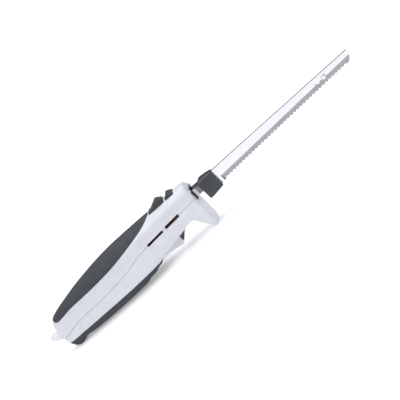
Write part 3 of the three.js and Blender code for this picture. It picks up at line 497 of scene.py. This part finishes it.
def front_vent_rise(x):
    rear_end, front_start = VENTS[0][1], VENTS[1][0]
    return FRONT_VENT_TALLER * smoothstep((x - rear_end) / (front_start - rear_end))


class Section:
    """One cross-section of the casing: rounded above and below its widest height."""

    def __init__(self, x, across, middle, up, down, powers):
        self.x, self.across, self.middle = x, across, middle
        self.up, self.down, self.powers = up, down, powers

    def power(self, upward):
        return self.powers[0] if upward > 0 else self.powers[1]

    def point(self, angle, side):
        """The skin at an angle from straight down (-90 degrees) to straight up, left or right."""
        swell = 2 / self.power(angle)
        y = self.across * max(math.cos(angle), 0) ** swell
        rise = math.copysign(abs(math.sin(angle)) ** swell, math.sin(angle))
        z = self.middle + rise * (self.up if rise > 0 else self.down)
        return self.x, side * y, max(z, 0)

    def angle_at(self, height):
        reach = self.up if height > self.middle else self.down
        share = min(abs(height - self.middle) / max(reach, 1e-6), 1)
        power = self.power(height - self.middle)
        return math.copysign(math.asin(share ** (power / 2)), height - self.middle)

    def angle_of_width(self, half, upward):
        share = min(half / max(self.across, 1e-6), 1)
        return math.copysign(math.acos(share ** (self.power(upward) / 2)), upward)


def casing_section(x, inset=0.0):
    into = min(max((x - TAIL) / TAIL_ROUNDING, 0), 1)
    share = (1 - (1 - into) ** TAIL_POWER) ** (1 / TAIL_POWER)
    turn = max(NOSE_ROUNDING - (NOSE - x), 0)
    trim = inset + NOSE_ROUNDING - math.sqrt(max(NOSE_ROUNDING ** 2 - turn ** 2, 0))
    top = TAIL_CENTRE + (crest(x) - TAIL_CENTRE) * share - trim
    bottom = TAIL_CENTRE + (plain_belly(x) - TAIL_CENTRE) * share + trim
    middle = (top + bottom) / 2
    lower_power = LOWER_POWER
    if x > GUARD_REAR:
        bottom = min(bottom, guard_line(x) + inset)
        lower_power += (GUARD_POWER - LOWER_POWER) * smoothstep((x - GUARD_REAR) / 10)
    powers = (SECTION_POWER, lower_power)
    return Section(x, half_width(x) * share - trim, middle, top - middle, middle - bottom, powers)


def nose_face_section(share):
    """Sections across the flat nose, from its rounded rim (share 0) to the blade opening (share 1)."""
    rim = casing_section(NOSE)
    hole = NOSE_HOLE

    def between(a, b):
        return a + (b - a) * share

    half = hole["half"] + hole["rim"] + SEAL_ROOM
    middle = between(rim.middle, hole["middle"])
    bottom = between(rim.middle - rim.down, hole["middle"] - half)
    powers = [between(power, hole["power"]) for power in rim.powers]
    across = between(rim.across, hole["y"] + hole["rim"] + SEAL_ROOM)
    return Section(NOSE, across, middle, between(rim.up, half), middle - bottom, powers)


def meeting(edge, line, a, b):
    """The x between a and b where two curves cross."""
    rising = edge(a) < line(a)
    for _ in range(40):
        middle = (a + b) / 2
        if (edge(middle) < line(middle)) == rising:
            a = middle
        else:
            b = middle
    return (a + b) / 2


def section_top(x):
    section = casing_section(x)
    return section.middle + section.up


def section_bottom(x):
    section = casing_section(x)
    return section.middle - section.down


def spaced(cuts, pitch):
    """Stations between the cuts, closer together near each, about pitch apart."""
    stations = []
    for a, b in zip(cuts, cuts[1:]):
        steps = max(3, round((b - a) / pitch) + 3)
        stations += [a + (b - a) * smoothstep(i / steps) for i in range(steps)]
    return stations + [cuts[-1]]


def inside(ranges, a, b):
    middle = (a + b) / 2
    return any(low < middle < high for low, high in ranges)


def skin_band(sections, zones):
    """Points and faces of a skin through the sections, on both sides of the handle.

    A zone is (lower angle, upper angle, rows, gaps): the angles are functions of a section, and
    gaps are the stretches of x where that zone is left open."""
    points, faces = [], []
    for lower, upper, rows, gaps in zones:
        for side in (-1, 1):
            start = len(points)
            for section in sections:
                low = lower(section)
                high = max(upper(section), low)
                for row in range(rows + 1):
                    points.append(section.point(low + (high - low) * row / rows, side))
            for i in range(len(sections) - 1):
                if inside(gaps, sections[i].x, sections[i + 1].x):
                    continue
                for row in range(rows):
                    a = start + i * (rows + 1) + row
                    b = a + rows + 1
                    face = (a, b, b + 1, a + 1)
                    faces.append(face if side < 0 else face[::-1])
    return points, faces


def straight_down(section):
    return -math.pi / 2


def straight_up(section):
    return math.pi / 2


def at_height(curve, shift=0.0):
    return lambda section: section.angle_at(curve(section.x) + shift)


BEHIND = -300.0  # anywhere behind the tail
HALF_GAP = SEAM_GAP / 2


def add_upper_housing():
    rear = meeting(top_grip_edge, section_top, TOP_GRIP_REAR, -205)
    tip = meeting(top_grip_edge, section_top, -66, -52.5)
    low = meeting(seam_height, section_bottom, TAIL + 0.01, TAIL + 3)

    def grip_line(section):
        edge = section.angle_of_width(BUTTON_HALF_SLOT, 1)
        if section.x <= tip:
            return section.angle_at(top_grip_edge(max(section.x, TOP_GRIP_REAR)) - HALF_GAP)
        return math.pi / 2 + (edge - math.pi / 2) * smoothstep((section.x - tip) / 2.5)

    cuts = [TAIL, low, rear, VENTS[0][0], tip, LOCK_SLOT[0], VENTS[0][1], VENTS[1][0], LOCK_SLOT[1],
            RELEASE_SLOT[0], VENTS[1][1], RELEASE_SLOT[1], NOSE - NOSE_ROUNDING, NOSE]
    sections = [casing_section(x) for x in spaced(cuts, 2.6)]
    sections += [nose_face_section(share / 5) for share in range(1, 6)]
    vent_line = at_height(lambda x: seam_height(x) + front_vent_rise(x), VENT_ABOVE_SEAM)
    points, faces = skin_band(sections, [
        (at_height(seam_height, HALF_GAP), vent_line, 2, VENTS),
        (vent_line, grip_line, 16, ()),
        (grip_line, straight_up, 5, ((rear, tip), LOCK_SLOT, RELEASE_SLOT)),
    ])
    piece = new_piece(
        "upper_casing", points, faces, white_plastic, "handle", ("upper_housing",),
    )
    thicken(piece, CASING_WALL)
    round_edges(piece, 0.4, 2, 50)
    return smooth(piece, 45)


def add_lower_housing():
    low = meeting(seam_height, section_bottom, TAIL + 0.01, TAIL + 3)
    edge = meeting(bottom_grip_edge, section_bottom, TAIL + 0.01, TAIL + 5)

    def grip_line(section):
        if section.x <= BOTTOM_GRIP_END + 0.01:
            return section.angle_at(bottom_grip_edge(section.x) + HALF_GAP)
        return section.angle_of_width(TRIGGER_HALF_SLOT, -1)

    cuts = [TAIL, low, edge, BOTTOM_GRIP_END, VENTS[0][0], TRIGGER_SLOT[0], VENTS[0][1], VENTS[1][0],
            TRIGGER_SLOT[1], VENTS[1][1], -22, -14, -10.8, NOSE - NOSE_ROUNDING, -6.2, NOSE]
    sections = [casing_section(x) for x in spaced(cuts, 2.2)]
    sections += [nose_face_section(share / 6) for share in range(1, 7)]
    vent_line = at_height(seam_height, -VENT_BELOW_SEAM)
    points, faces = skin_band(sections, [
        (straight_down, grip_line, 6, ((BEHIND, BOTTOM_GRIP_END), TRIGGER_SLOT)),
        (grip_line, vent_line, 16, ()),
        (vent_line, at_height(seam_height, -HALF_GAP), 2, VENTS),
    ])
    piece = new_piece(
        "lower_casing", points, faces, white_plastic, "handle", ("lower_housing",),
    )
    thicken(piece, CASING_WALL)
    round_edges(piece, 0.4, 2, 50)
    return smooth(piece, 45)


def proud(sections, amount):
    for section in sections:
        section.across += amount
        section.up += amount
        section.down += amount
    return sections


def add_top_grip():
    rear = meeting(top_grip_edge, section_top, TOP_GRIP_REAR, -205)
    tip = meeting(top_grip_edge, section_top, -66, -52.5)
    cuts = [rear + 0.2, -204, -198, tip - 6, tip - 0.2]
    sections = proud([casing_section(x) for x in spaced(cuts, 2.4)], GRIP_PROUD)
    points, faces = skin_band(sections, [
        (at_height(top_grip_edge, HALF_GAP), straight_up, 14, ()),
    ])
    piece = new_piece("top_grip_skin", points, faces, soft_grip, "handle", ("top_grip",))
    thicken(piece, GRIP_SKIN)
    round_edges(piece, 0.5, 3, 50)
    return smooth(piece, 45)


SCREW_PLACES = ((-99, 10.5, 10.8), (-99, -10.5, 10.8), (-191, 5.5, 7.6), (-191, -5.5, 7.6))  # x, y, seat
SCREW_WELL = 3.3
SCREW_COUNTERBORE = 3.0
SCREW_HOLE = 1.8


def upright_cutter(x, y, radius, low, high):
    points, faces = lofted([[(a, b, z) for a, b in circle((x, y), radius)] for z in (low, high)])
    return cutter_from(points, faces)


def add_bottom_grip():
    edge = meeting(bottom_grip_edge, section_bottom, TAIL + 0.01, TAIL + 5)
    cuts = [edge + 0.2, -212, -200, -110, -80, BOTTOM_GRIP_END - SEAM_GAP]
    sections = [casing_section(x) for x in spaced(cuts, 2.2)]
    points, faces = skin_band(sections, [
        (straight_down, at_height(bottom_grip_edge, -HALF_GAP), 16, ()),
    ])
    piece = new_piece("bottom_grip_skin", points, faces, soft_grip, "handle", ("bottom_grip",))
    thicken(piece, GRIP_SKIN)
    for x, y, _ in SCREW_PLACES:
        cut_with(piece, upright_cutter(x, y, SCREW_WELL, -5, 20))
    round_edges(piece, 0.5, 3, 50)
    return smooth(piece, 45)


def add_grip_bed():
    """The inner face of the lower casing that the bottom grip lies on, with the screws' holes."""
    rear, front = TAIL + 5, BOTTOM_GRIP_END + 2
    sections = [casing_section(x, GRIP_SKIN + SEAM_GAP) for x in spaced([rear, -200, -110, -80, front], 4)]
    points, faces = skin_band(sections, [(straight_down, at_height(bottom_grip_edge, 2), 12, ())])
    piece = new_piece("grip_bed", points, faces, white_plastic, "handle")
    thicken(piece, 2.5)
    for x, y, seat in SCREW_PLACES:
        cut_with(piece, upright_cutter(x, y, SCREW_COUNTERBORE, -5, seat))
        cut_with(piece, upright_cutter(x, y, SCREW_HOLE, -5, 30))
    return smooth(piece, 45)


# ---------- buttons, trigger and seal ----------
def add_slab(name, outline, half, radius, edge, material, body, replaced):
    """A piece of constant width with a rounded side view and softened edges."""
    points, faces = slab_points(rounded_outline(outline, radius), -half, half)
    piece = new_piece(name, points, faces, material, body, (replaced,))
    face_out(piece)
    round_edges(piece, edge, 3, 60)
    return smooth(piece, 35)


BUTTON_HALF = 7.0
LOCK_OUTLINE = [
    (-53.5, 49), (-53.5, 55.5), (-53.2, 56.6), (-49, 57.4), (-39.8, 62), (-38.2, 62), (-32.9, 58.4),
    (-32.4, 56.6), (-32.4, 49),
]
RELEASE_OUTLINE = [
    (-29.8, 49), (-29.8, 55.5), (-29.5, 56.6), (-25.9, 59.8), (-24.9, 59.8), (-19.4, 56.8),
    (-19, 55.5), (-19, 49),
]
TRIGGER_HALF = 5.5
TRIGGER_OUTLINE = [
    (-69.3, 18), (-69, 11.6), (-66, 10.1), (-58, 8.7), (-50, 7.3), (-48.2, 7.6), (-47.5, 9.2),
    (-46.9, 20.8), (-56, 18.6), (-62, 19.3), (-65, 21.1), (-67.5, 21.2), (-69, 20),
]
PAD_OUTLINE = [
    (-47.1, 10.4), (-46.2, 10.2), (-43.2, 13), (-39.2, 17), (-35.8, 19.5), (-36.2, 20.7), (-46.6, 21),
]


def add_controls():
    add_slab(
        "lock_key", LOCK_OUTLINE, BUTTON_HALF, 0.8, 0.7, dark_plastic, "lock", "lock_button",
    )
    add_slab(
        "release_key", RELEASE_OUTLINE, BUTTON_HALF, 0.8, 0.7, dark_plastic, "release",
        "release_button",
    )
    add_slab(
        "trigger_lever_shell", TRIGGER_OUTLINE, TRIGGER_HALF, 1.0, 0.6, white_plastic, "trigger_lever",
        "trigger",
    )
    add_slab(
        "trigger_pad_shell", PAD_OUTLINE, TRIGGER_HALF, 0.6, 0.5, dark_plastic, "trigger_lever",
        "trigger_pad",
    )


def rounded_loop(half_wide, half_high, power, count=48):
    """A closed loop of (y, z) points, squarer as power grows."""
    loop = []
    for i in range(count):
        angle = 2 * math.pi * i / count
        c, s = math.cos(angle), math.sin(angle)
        y = math.copysign(abs(c) ** (2 / power), c) * half_wide
        z = math.copysign(abs(s) ** (2 / power), s) * half_high
        loop.append((y, z))
    return loop


def ring_body(rings):
    """Points and faces of a closed tube through rings, the last one joined to the first."""
    count = len(rings[0])
    points = [p for ring in rings for p in ring]
    faces = []
    for r in range(len(rings)):
        a, b = r * count, ((r + 1) % len(rings)) * count
        for i in range(count):
            j = (i + 1) % count
            faces.append((a + i, b + i, b + j, a + j))
    return points, faces


def add_seal():
    """The frame of the blade opening, with a rounded lip standing out of the nose; the lip is painted
    near-black as painted shade at the opening's edge, and the part inside the nose is grey.
    """
    section = [  # x and margin outside the opening
        (NOSE - 2.7, 0.9), (NOSE + 0.3, 0.9), (NOSE + 0.65, 0.8), (NOSE + 0.8, 0.55), (NOSE + 0.8, 0.35),
        (NOSE + 0.65, 0.1), (NOSE + 0.3, 0), (NOSE - 2.7, 0),
    ]
    rings = []
    for x, margin in section:
        loop = rounded_loop(NOSE_HOLE["y"] + margin, NOSE_HOLE["half"] + margin, NOSE_HOLE["power"])
        rings.append([(x, y, NOSE_HOLE["middle"] + z) for y, z in loop])
    points, faces = ring_body(rings)
    piece = new_piece("opening_seal", points, faces, black_seal, "handle", ("nose_seal",))
    face_out(piece)
    # the lip outside the nose keeps the near-black of painted shade; faces inside the nose are grey
    piece.data.materials.append(grey_sleeve)
    for face in piece.data.polygons:
        face.material_index = 1 if face.center.x / MM < NOSE + 0.1 else 0
    smooth(piece, 50)


# ---------- blades ----------
BLADE_GAP = 0.15  # each blade's distance from the middle plane
BLADE_OUT = 1.35
SPINE_EDGE = 0.12  # the narrow bevel along the spine
EDGE_KEEN = 0.28  # where the ground flank meets the cutting edge
TEETH = 38
TOOTH_STEPS = 10
TOOTH_DEPTH = 1.7
EDGE_ROOT = (31.3, 28.0)
EDGE_TIP = (206.0, 33.2)
EDGE_SAG = 0.9
FLANK_SLOPE = 0.14
FLANK_START = 29.0
BLADE_REAR = -4.0
TANG_END = 8.0
TANG_LOW = 35.6
HEEL = {"rear": 9.5, "front": 26.0, "rear_low": 29.0, "front_low": 27.0}
BLADE_TIP = 214.5
RIVET = (178.5, 40.0)
KEYHOLE = (169.3, 40.0)
KEYHOLE_END = 186.8
KEYHOLE_HALF = 1.7
KEYHOLE_RADIUS = 3


def between_points(x, start, end):
    """The height at x on the straight line through two (x, z) points."""
    return start[1] + (end[1] - start[1]) * (x - start[0]) / (end[0] - start[0])


def edge_line(x):
    t = (x - EDGE_ROOT[0]) / (EDGE_TIP[0] - EDGE_ROOT[0])
    return EDGE_ROOT[1] + (EDGE_TIP[1] - EDGE_ROOT[1]) * t + EDGE_SAG * t * (1 - t)


def blade_bottom(x):
    """The lower outline: tang, heel, scalloped edge and the rounded tip."""
    if x < TANG_END:
        return TANG_LOW
    if x < HEEL["rear"]:
        return between_points(x, (TANG_END, TANG_LOW), (HEEL["rear"], HEEL["rear_low"]))
    if x < HEEL["front"]:
        return between_points(x, (HEEL["rear"], HEEL["rear_low"]), (HEEL["front"], HEEL["front_low"]))
    if x < EDGE_ROOT[0]:
        return between_points(x, (HEEL["front"], HEEL["front_low"]), EDGE_ROOT)
    if x <= EDGE_TIP[0]:
        pitch = (EDGE_TIP[0] - EDGE_ROOT[0]) / TEETH
        along = ((x - EDGE_ROOT[0]) / pitch) % 1
        return edge_line(x) + 4 * TOOTH_DEPTH * along * (1 - along)
    t = min((x - EDGE_TIP[0]) / (BLADE_TIP - EDGE_TIP[0]), 1)
    return EDGE_TIP[1] + 9.4 * (1 - (1 - t ** 1.7) ** 0.55)


TANG_TOP = (6.0, 44.0)
SPINE_START = (TANG_END, 45.3)
SPINE_END = (BLADE_TIP, 45.8)
TIP_EASE = {"length": 1.2, "drop": 0.5}  # the spine's last bit curves down
FLANK_REAR = (31.0, 34.4)
FLANK_FRONT = (212.0, 40.2)


def blade_top(x):
    if x < TANG_TOP[0]:
        return TANG_TOP[1]
    if x < TANG_END:
        return between_points(x, TANG_TOP, SPINE_START)
    spine = between_points(x, SPINE_START, SPINE_END)
    into_tip = max(0, (x - (BLADE_TIP - TIP_EASE["length"])) / TIP_EASE["length"])
    return spine - TIP_EASE["drop"] * into_tip ** 2


def flank_line(x):
    """The height where the flat side gives way to the ground flank."""
    return between_points(x, FLANK_REAR, FLANK_FRONT)


def blade_stations():
    tooth = (EDGE_TIP[0] - EDGE_ROOT[0]) / TEETH / TOOTH_STEPS
    tip_length = BLADE_TIP - EDGE_TIP[0]
    stations = [
        BLADE_REAR, 0, 5.9, TANG_END, HEEL["rear"], 14, 19, 25, FLANK_START - 0.01, FLANK_START, 30.2,
    ]
    stations += [EDGE_ROOT[0] + tooth * i for i in range(TEETH * TOOTH_STEPS + 1)]
    stations += [EDGE_TIP[0] + tip_length * math.sin(i * math.pi / 24) for i in range(1, 13)]
    return stations


def blade_column(x, side):
    """One cross-section, from the spine down the outside to the edge and up the inner face."""
    top, bottom = blade_top(x), blade_bottom(x)
    line = max(min(flank_line(x), top - 1), bottom + 0.02)
    ground = x >= FLANK_START
    column = [
        (BLADE_OUT - SPINE_EDGE, top), (BLADE_OUT, top - SPINE_EDGE), (BLADE_OUT, (top + line) / 2),
        (BLADE_OUT, line),
    ]
    for share in (0.03, 0.35, 0.7, 1):
        z = line + (bottom - line) * share
        y = BLADE_OUT - (0.05 + FLANK_SLOPE * (line - z) if ground else 0)
        column.append((max(y, BLADE_GAP + EDGE_KEEN), z))
    column += [(BLADE_GAP, bottom), (BLADE_GAP, (top + bottom) / 2), (BLADE_GAP, top)]
    return [(x, side * y, z) for y, z in column]


def blade_finish(centre, normal):
    """0 for the flat sides, 1 for the ground flank, 2 for the spine's upward faces and the flank's rear end,
    which are painted dark as painted shade.
    """
    # faces turned upward get painted shade
    if normal.z > 0.6:
        return 2
    on_flank = centre.x > FLANK_START - 0.02 and centre.z < flank_line(centre.x)
    if not on_flank or abs(centre.y) < BLADE_GAP + 0.05:
        return 0
    # the flank's first 1.2 mm gets painted shade, a painted shadow in the notch where the grind starts
    return 2 if centre.x < FLANK_START + 1.2 else 1


def add_blade(name, side, body, replaced):
    rings = [blade_column(x, side) for x in blade_stations()]
    points, faces = lofted(rings)
    piece = new_piece(name, points, faces, blade_steel, body, (replaced,))
    face_out(piece)
    piece.data.materials.append(ground_steel)
    piece.data.materials.append(painted_shade_steel)
    for face in piece.data.polygons:
        face.material_index = blade_finish(face.center / MM, face.normal)
    if side < 0:
        low, high = KEYHOLE[1] - KEYHOLE_HALF, KEYHOLE[1] + KEYHOLE_HALF
        slot_outline = rounded_outline([
            (KEYHOLE[0], low), (KEYHOLE_END, low), (KEYHOLE_END, high), (KEYHOLE[0], high),
        ], 1.6)
        for outline in (slot_outline, circle(KEYHOLE, KEYHOLE_RADIUS)):
            cut_with(piece, cutter(outline, -4, 4))
    return smooth(piece, 22)


def circle(centre, radius, count=32):
    angles = [2 * math.pi / count * i for i in range(count)]
    return [(centre[0] + radius * math.cos(a), centre[1] + radius * math.sin(a)) for a in angles]


def cutter(outline, low, high):
    return cutter_from(*slab_points(outline, low, high))


def cutter_from(points, faces):
    mesh = bpy.data.meshes.new("cutter")
    mesh.from_pydata([metres(p) for p in points], [], faces)
    tool = bpy.data.objects.new("cutter", mesh)
    bpy.context.scene.collection.objects.link(tool)
    face_out(tool)
    return tool


def turned(profile, centre, count=32):
    """Points and faces of a body turned about an axis along Y, from (radius, y) pairs."""
    rings = []
    for radius, y in profile:
        rings.append([(a, y, b) for a, b in circle(centre, radius, count)])
    return lofted(rings)


def add_rivet():
    """The headed pin of the far blade, which slides in the near blade's keyhole."""
    profile = [
        (1.9, -2.4), (2.3, -2.3), (2.5, -2.05), (2.5, -1.7), (1.2, -1.65), (1.2, 1.65), (2.2, 1.7),
        (2.2, 2.0), (1.9, 2.2),
    ]
    points, faces = turned(profile, RIVET)
    piece = new_piece(
        "blade_pin", points, faces, bright_steel, "left_blade_unit", ("blade_rivet",),
    )
    face_out(piece)
    round_edges(piece, 0.08, 2, 60)
    smooth(piece, 35)


# ---------- blade holders ----------
HOLDER_INNER = 1.65
holder_bottom = through([(6.5, 26.2), (7.2, 25.4), (10, 25.2), (13, 25.2), (18, 25.5), (25.5, 26)])
holder_top = through([(6.5, 45.8), (7.6, 46.6), (9.6, 47.1), (14, 47.2), (19, 47), (25.5, 46.5)])
holder_side = through([(6.5, 9.5), (8.2, 9.7), (11, 9.2), (14, 8.4), (20, 6.5), (25.5, 4.7)])
HOLDER_STATIONS = (6.5, 7.2, 8.2, 9.6, 11.5, 14, 17, 20, 23, 24.8)
RIB_PITCH = 2.3
RIBS = 5


def holder_ring(x, side):
    """One cross-section of a holder half: flat inside, with a sloped shoulder at the top."""
    low, high, out = holder_bottom(x), holder_top(x), holder_side(x)
    ring = [
        (HOLDER_INNER, low), (out - 0.8, low), (out - 0.2, low + 0.3), (out, low + 1), (out, high - 2.4),
        (out - 0.2, high - 1.7), (out - 0.8, high - 1), (out - 2, high - 0.4), (HOLDER_INNER, high),
    ]
    return [(x, side * y, z) for y, z in ring]


def add_holder(name, side, body, replaced):
    points, faces = lofted([holder_ring(x, side) for x in HOLDER_STATIONS])
    piece = new_piece(name, points, faces, dark_plastic, body, (replaced,))
    face_out(piece)
    round_edges(piece, 0.4, 3, 50)
    smooth(piece, 35)
    for i in range(RIBS):
        add_finger_rib(f"{name}_rib_{i + 1}", side, body, 34.2 + i * RIB_PITCH)


def add_finger_rib(name, side, body, height):
    """A low rounded bar moulded on the rear of a holder's side."""
    rings = []
    for x in (7.8, 8.2, 9.5, 11, 12.5, 14, 14.4):
        rise = 0.7 * (0.15 if x in (7.8, 14.4) else 1)
        root = holder_side(x) - 0.35
        ring = []
        for k in range(9):
            angle = math.pi * k / 8
            ring.append((x, side * (root + rise * math.sin(angle)), height + 0.55 * math.cos(angle)))
        rings.append(ring)
    points, faces = lofted(rings)
    piece = new_piece(name, points, faces, dark_plastic, body)
    face_out(piece)
    smooth(piece, 60)


def bar_ring(x, side, out, low, high):
    corners = ((HOLDER_INNER, low), (out, low), (out, high), (HOLDER_INNER, high))
    return [(x, side * y, z) for y, z in corners]


def add_bar(name, side, body, material, x0, x1, out, low, high):
    """A squared bar of a blade unit, between the drive socket and the holder."""
    points, faces = lofted([bar_ring(x, side, out, low, high) for x in (x0, x1)])
    piece = new_piece(name, points, faces, material, body)
    face_out(piece)
    round_edges(piece, 0.35, 2, 50)
    smooth(piece, 40)


NECK = {"low": 35.6, "high": 44.4, "cap": 44.8, "out": 5.7}
TONGUE_SECTION = ((3.9, 36.3), (5.4, 36.3), (5.4, 42.7), (3.9, 42.7))


def add_blade_unit(name, side, body):
    add_blade(f"{name}_knife_blade", side, body, f"{name}_blade")
    add_holder(f"{name}_blade_holder", side, body, f"{name}_holder")
    low, high, cap, out = NECK["low"], NECK["high"], NECK["cap"], NECK["out"]
    # the stem in the blade opening is painted near-black as painted shade
    add_bar(f"{name}_stem", side, body, black_seal, -8.9, -3.8, out, low, high)
    add_bar(f"{name}_root", side, body, phenolic, -3.9, -2.4, out, low, high)
    add_bar(f"{name}_collar", side, body, white_plastic, -2.5, 1, out + 0.3, low - 0.3, high)
    add_bar(f"{name}_neck", side, body, neck_plastic, 0.9, 7, out, low, high)
    # a thin near-black strip on the neck's top: painted shade for the dark gap over the neck
    add_bar(f"{name}_neck_cap", side, body, black_seal, -8.9, 7, out, high - 0.05, cap)
    points, faces = lofted([[(x, side * y, z) for y, z in TONGUE_SECTION] for x in (-28, -8)])
    tongue = new_piece(f"{name}_tongue", points, faces, bright_steel, body)
    face_out(tongue)
    round_edges(tongue, 0.3, 2, 50)
    smooth(tongue, 40)


# ---------- cord fittings ----------
RELIEF_ROUTE = [
    (-207, 0, 18.2), (-213.5, 0, 20.3), (-219.5, 2, 21.4), (-223.6, 7.5, 20.9), (-225.3, 14, 19),
    (-225.8, 21.5, 16.5),
]
RELIEF_RIBS = 9


def spline_point(points, at):
    """A point at share at of a smooth curve through the points."""
    last = len(points) - 1
    i = min(int(at * last), last - 1)
    t = at * last - i
    p0, p1, p2, p3 = (Vector(points[min(max(k, 0), last)]) for k in (i - 1, i, i + 1, i + 2))
    return 0.5 * (2 * p1 + (p2 - p0) * t + (2 * p0 - 5 * p1 + 4 * p2 - p3) * t * t
                  + (3 * p1 - p0 - 3 * p2 + p3) * t ** 3)


def relief_radius(share):
    """The sleeve tapers to the cord, with rounded ribs along its middle."""
    taper = 5.1 - 1.1 * share
    if not 0.2 < share < 0.95:
        return taper
    beat = abs(math.sin(math.pi * RELIEF_RIBS * (share - 0.2) / 0.75))
    return taper - 0.75 * (1 - beat ** 0.5)


def add_strain_relief():
    steps, around = 144, 28
    rings = []
    for i in range(steps + 1):
        share = i / steps
        here = spline_point(RELIEF_ROUTE, share)
        before = spline_point(RELIEF_ROUTE, max(share - 0.01, 0))
        ahead = spline_point(RELIEF_ROUTE, min(share + 0.01, 1))
        forward = (ahead - before).normalized()
        sideways = forward.cross(Vector((0, 0, 1))).normalized()
        upward = sideways.cross(forward)
        radius = relief_radius(share)
        ring = []
        for k in range(around):
            angle = 2 * math.pi * k / around
            ring.append(tuple(here + (sideways * math.cos(angle) + upward * math.sin(angle)) * radius))
        rings.append(ring)
    points, faces = lofted(rings)
    piece = new_piece("cord_sleeve", points, faces, cord_jacket, "handle", ("strain_relief",))
    face_out(piece)
    return smooth(piece, 50)


TIE = {"x0": -133.0, "x1": -127.0, "half": 7.3, "thick": 0.9, "top": 25.3}


def add_tie():
    """A strap round the waist of the hank."""
    wide, high = TIE["half"] + TIE["thick"], (TIE["top"] + TIE["thick"]) / 2
    outer = rounded_loop(wide, high, 9, 64)
    inner = rounded_loop(TIE["half"], high - TIE["thick"], 9, 64)
    rings = []
    for x, loop in ((TIE["x0"], inner), (TIE["x0"], outer), (TIE["x1"], outer), (TIE["x1"], inner)):
        rings.append([(x, HANK_Y + y, high + z) for y, z in loop])
    points, faces = ring_body(rings)
    piece = new_piece("hank_tie", points, faces, dark_plastic, "handle", ("cord_tie",))
    face_out(piece)
    round_edges(piece, 0.25, 2, 50)
    return smooth(piece, 40)


PLUG_FACE = -78
PLUG_TAIL_END = -108  # the ribbed tail runs from PLUG_TAIL to here
plug_side = through([
    (-121, 3.9), (-108.5, 5.3), (-107, 7.2), (-101, 10), (-92, 11.3), (-86, 11.5), (-78, 11.5),
])
plug_height = through([(-121, 3.9), (-109, 5.2), (-107, 5.8), (-100, 6), (-78, 6)])


def add_plug():
    """A moulded two-blade plug: a ribbed tail, a waisted body and a flat face."""
    rings = []
    tail_steps = 26
    stations = [PLUG_TAIL + (PLUG_TAIL_END - PLUG_TAIL) * i / tail_steps for i in range(tail_steps + 1)]
    stations += [-107, -104, -101, -97, -92, -86, -80, -78.6, PLUG_FACE]
    for x in stations:
        on_ribs = PLUG_TAIL + 1 < x < PLUG_TAIL_END - 1
        groove = 0.55 if on_ribs and round((x - PLUG_TAIL) * 2) % 4 in (2, 3) else 0
        tuck = 0.6 if x == PLUG_FACE else 0
        power = 2 + 2.5 * smoothstep((x + 109) / 10)
        loop = rounded_loop(plug_side(x) - groove - tuck, plug_height(x) - groove - tuck, power, 40)
        rings.append([(x, HANK_Y + y, PLUG_AXIS + z) for y, z in loop])
    points, faces = lofted(rings)
    piece = new_piece("mains_plug", points, faces, cord_jacket, "handle", ("plug_body",))
    face_out(piece)
    return smooth(piece, 40)


# ---------- studio ----------
FLOOR_GLOW = 0.3  # the pale floor is lit a little from below, as a light table is


def add_floor():
    mesh = bpy.data.meshes.new("floor")
    half = 6.0
    corners = [(-half, -half, 0), (half, -half, 0), (half, half, 0), (-half, half, 0)]
    mesh.from_pydata(corners, [], [(0, 1, 2, 3)])
    floor = bpy.data.objects.new("floor", mesh)
    bpy.context.scene.collection.objects.link(floor)
    paper = finish("floor", (0.86, 0.86, 0.87), 0.6, 3, 0.01, mottle=0.005)
    shader = paper.node_tree.nodes["Principled BSDF"]
    shader.inputs["Emission Color"].default_value = (1, 1, 1, 1)
    shader.inputs["Emission Strength"].default_value = FLOOR_GLOW
    mesh.materials.append(paper)


def add_soft_light(name, place, aim, size, power):
    data = bpy.data.lights.new(name, "AREA")
    data.shape = "DISK"
    data.size = size
    data.energy = power
    lamp = bpy.data.objects.new(name, data)
    bpy.context.scene.collection.objects.link(lamp)
    lamp.location = place
    lamp.rotation_euler = (Vector(aim) - Vector(place)).to_track_quat("-Z", "Y").to_euler()


def add_world():
    world = bpy.data.worlds.new("studio")
    bpy.context.scene.world = world
    world.use_nodes = True
    background = world.node_tree.nodes["Background"]
    background.inputs["Color"].default_value = (0.95, 0.96, 1, 1)
    background.inputs["Strength"].default_value = 0.5


# ---------- the knife ----------
add_camera()
finish_cad_nodes()
add_upper_housing()
add_lower_housing()
add_top_grip()
add_bottom_grip()
add_grip_bed()
add_controls()
add_seal()
add_blade_unit("left", 1, "left_blade_unit")
add_blade_unit("right", -1, "right_blade_unit")
add_rivet()
on_the_cord = [add_strain_relief(), add_tie(), add_plug()]
on_the_cord += [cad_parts[name] for name in ("left_plug_blade", "right_plug_blade")]
add_cord()

add_floor()
add_world()
bpy.context.scene.view_settings.view_transform = "Standard"
add_soft_light("key", (-0.9, -1.4, 2.2), (-0.05, 0, 0.03), 1.6, 22)
add_soft_light("fill", (1.6, -1.2, 1.1), (0, 0, 0.03), 1.8, 5)
add_soft_light("top", (0.1, 0.5, 2.4), (0, 0, 0.02), 2.0, 30)
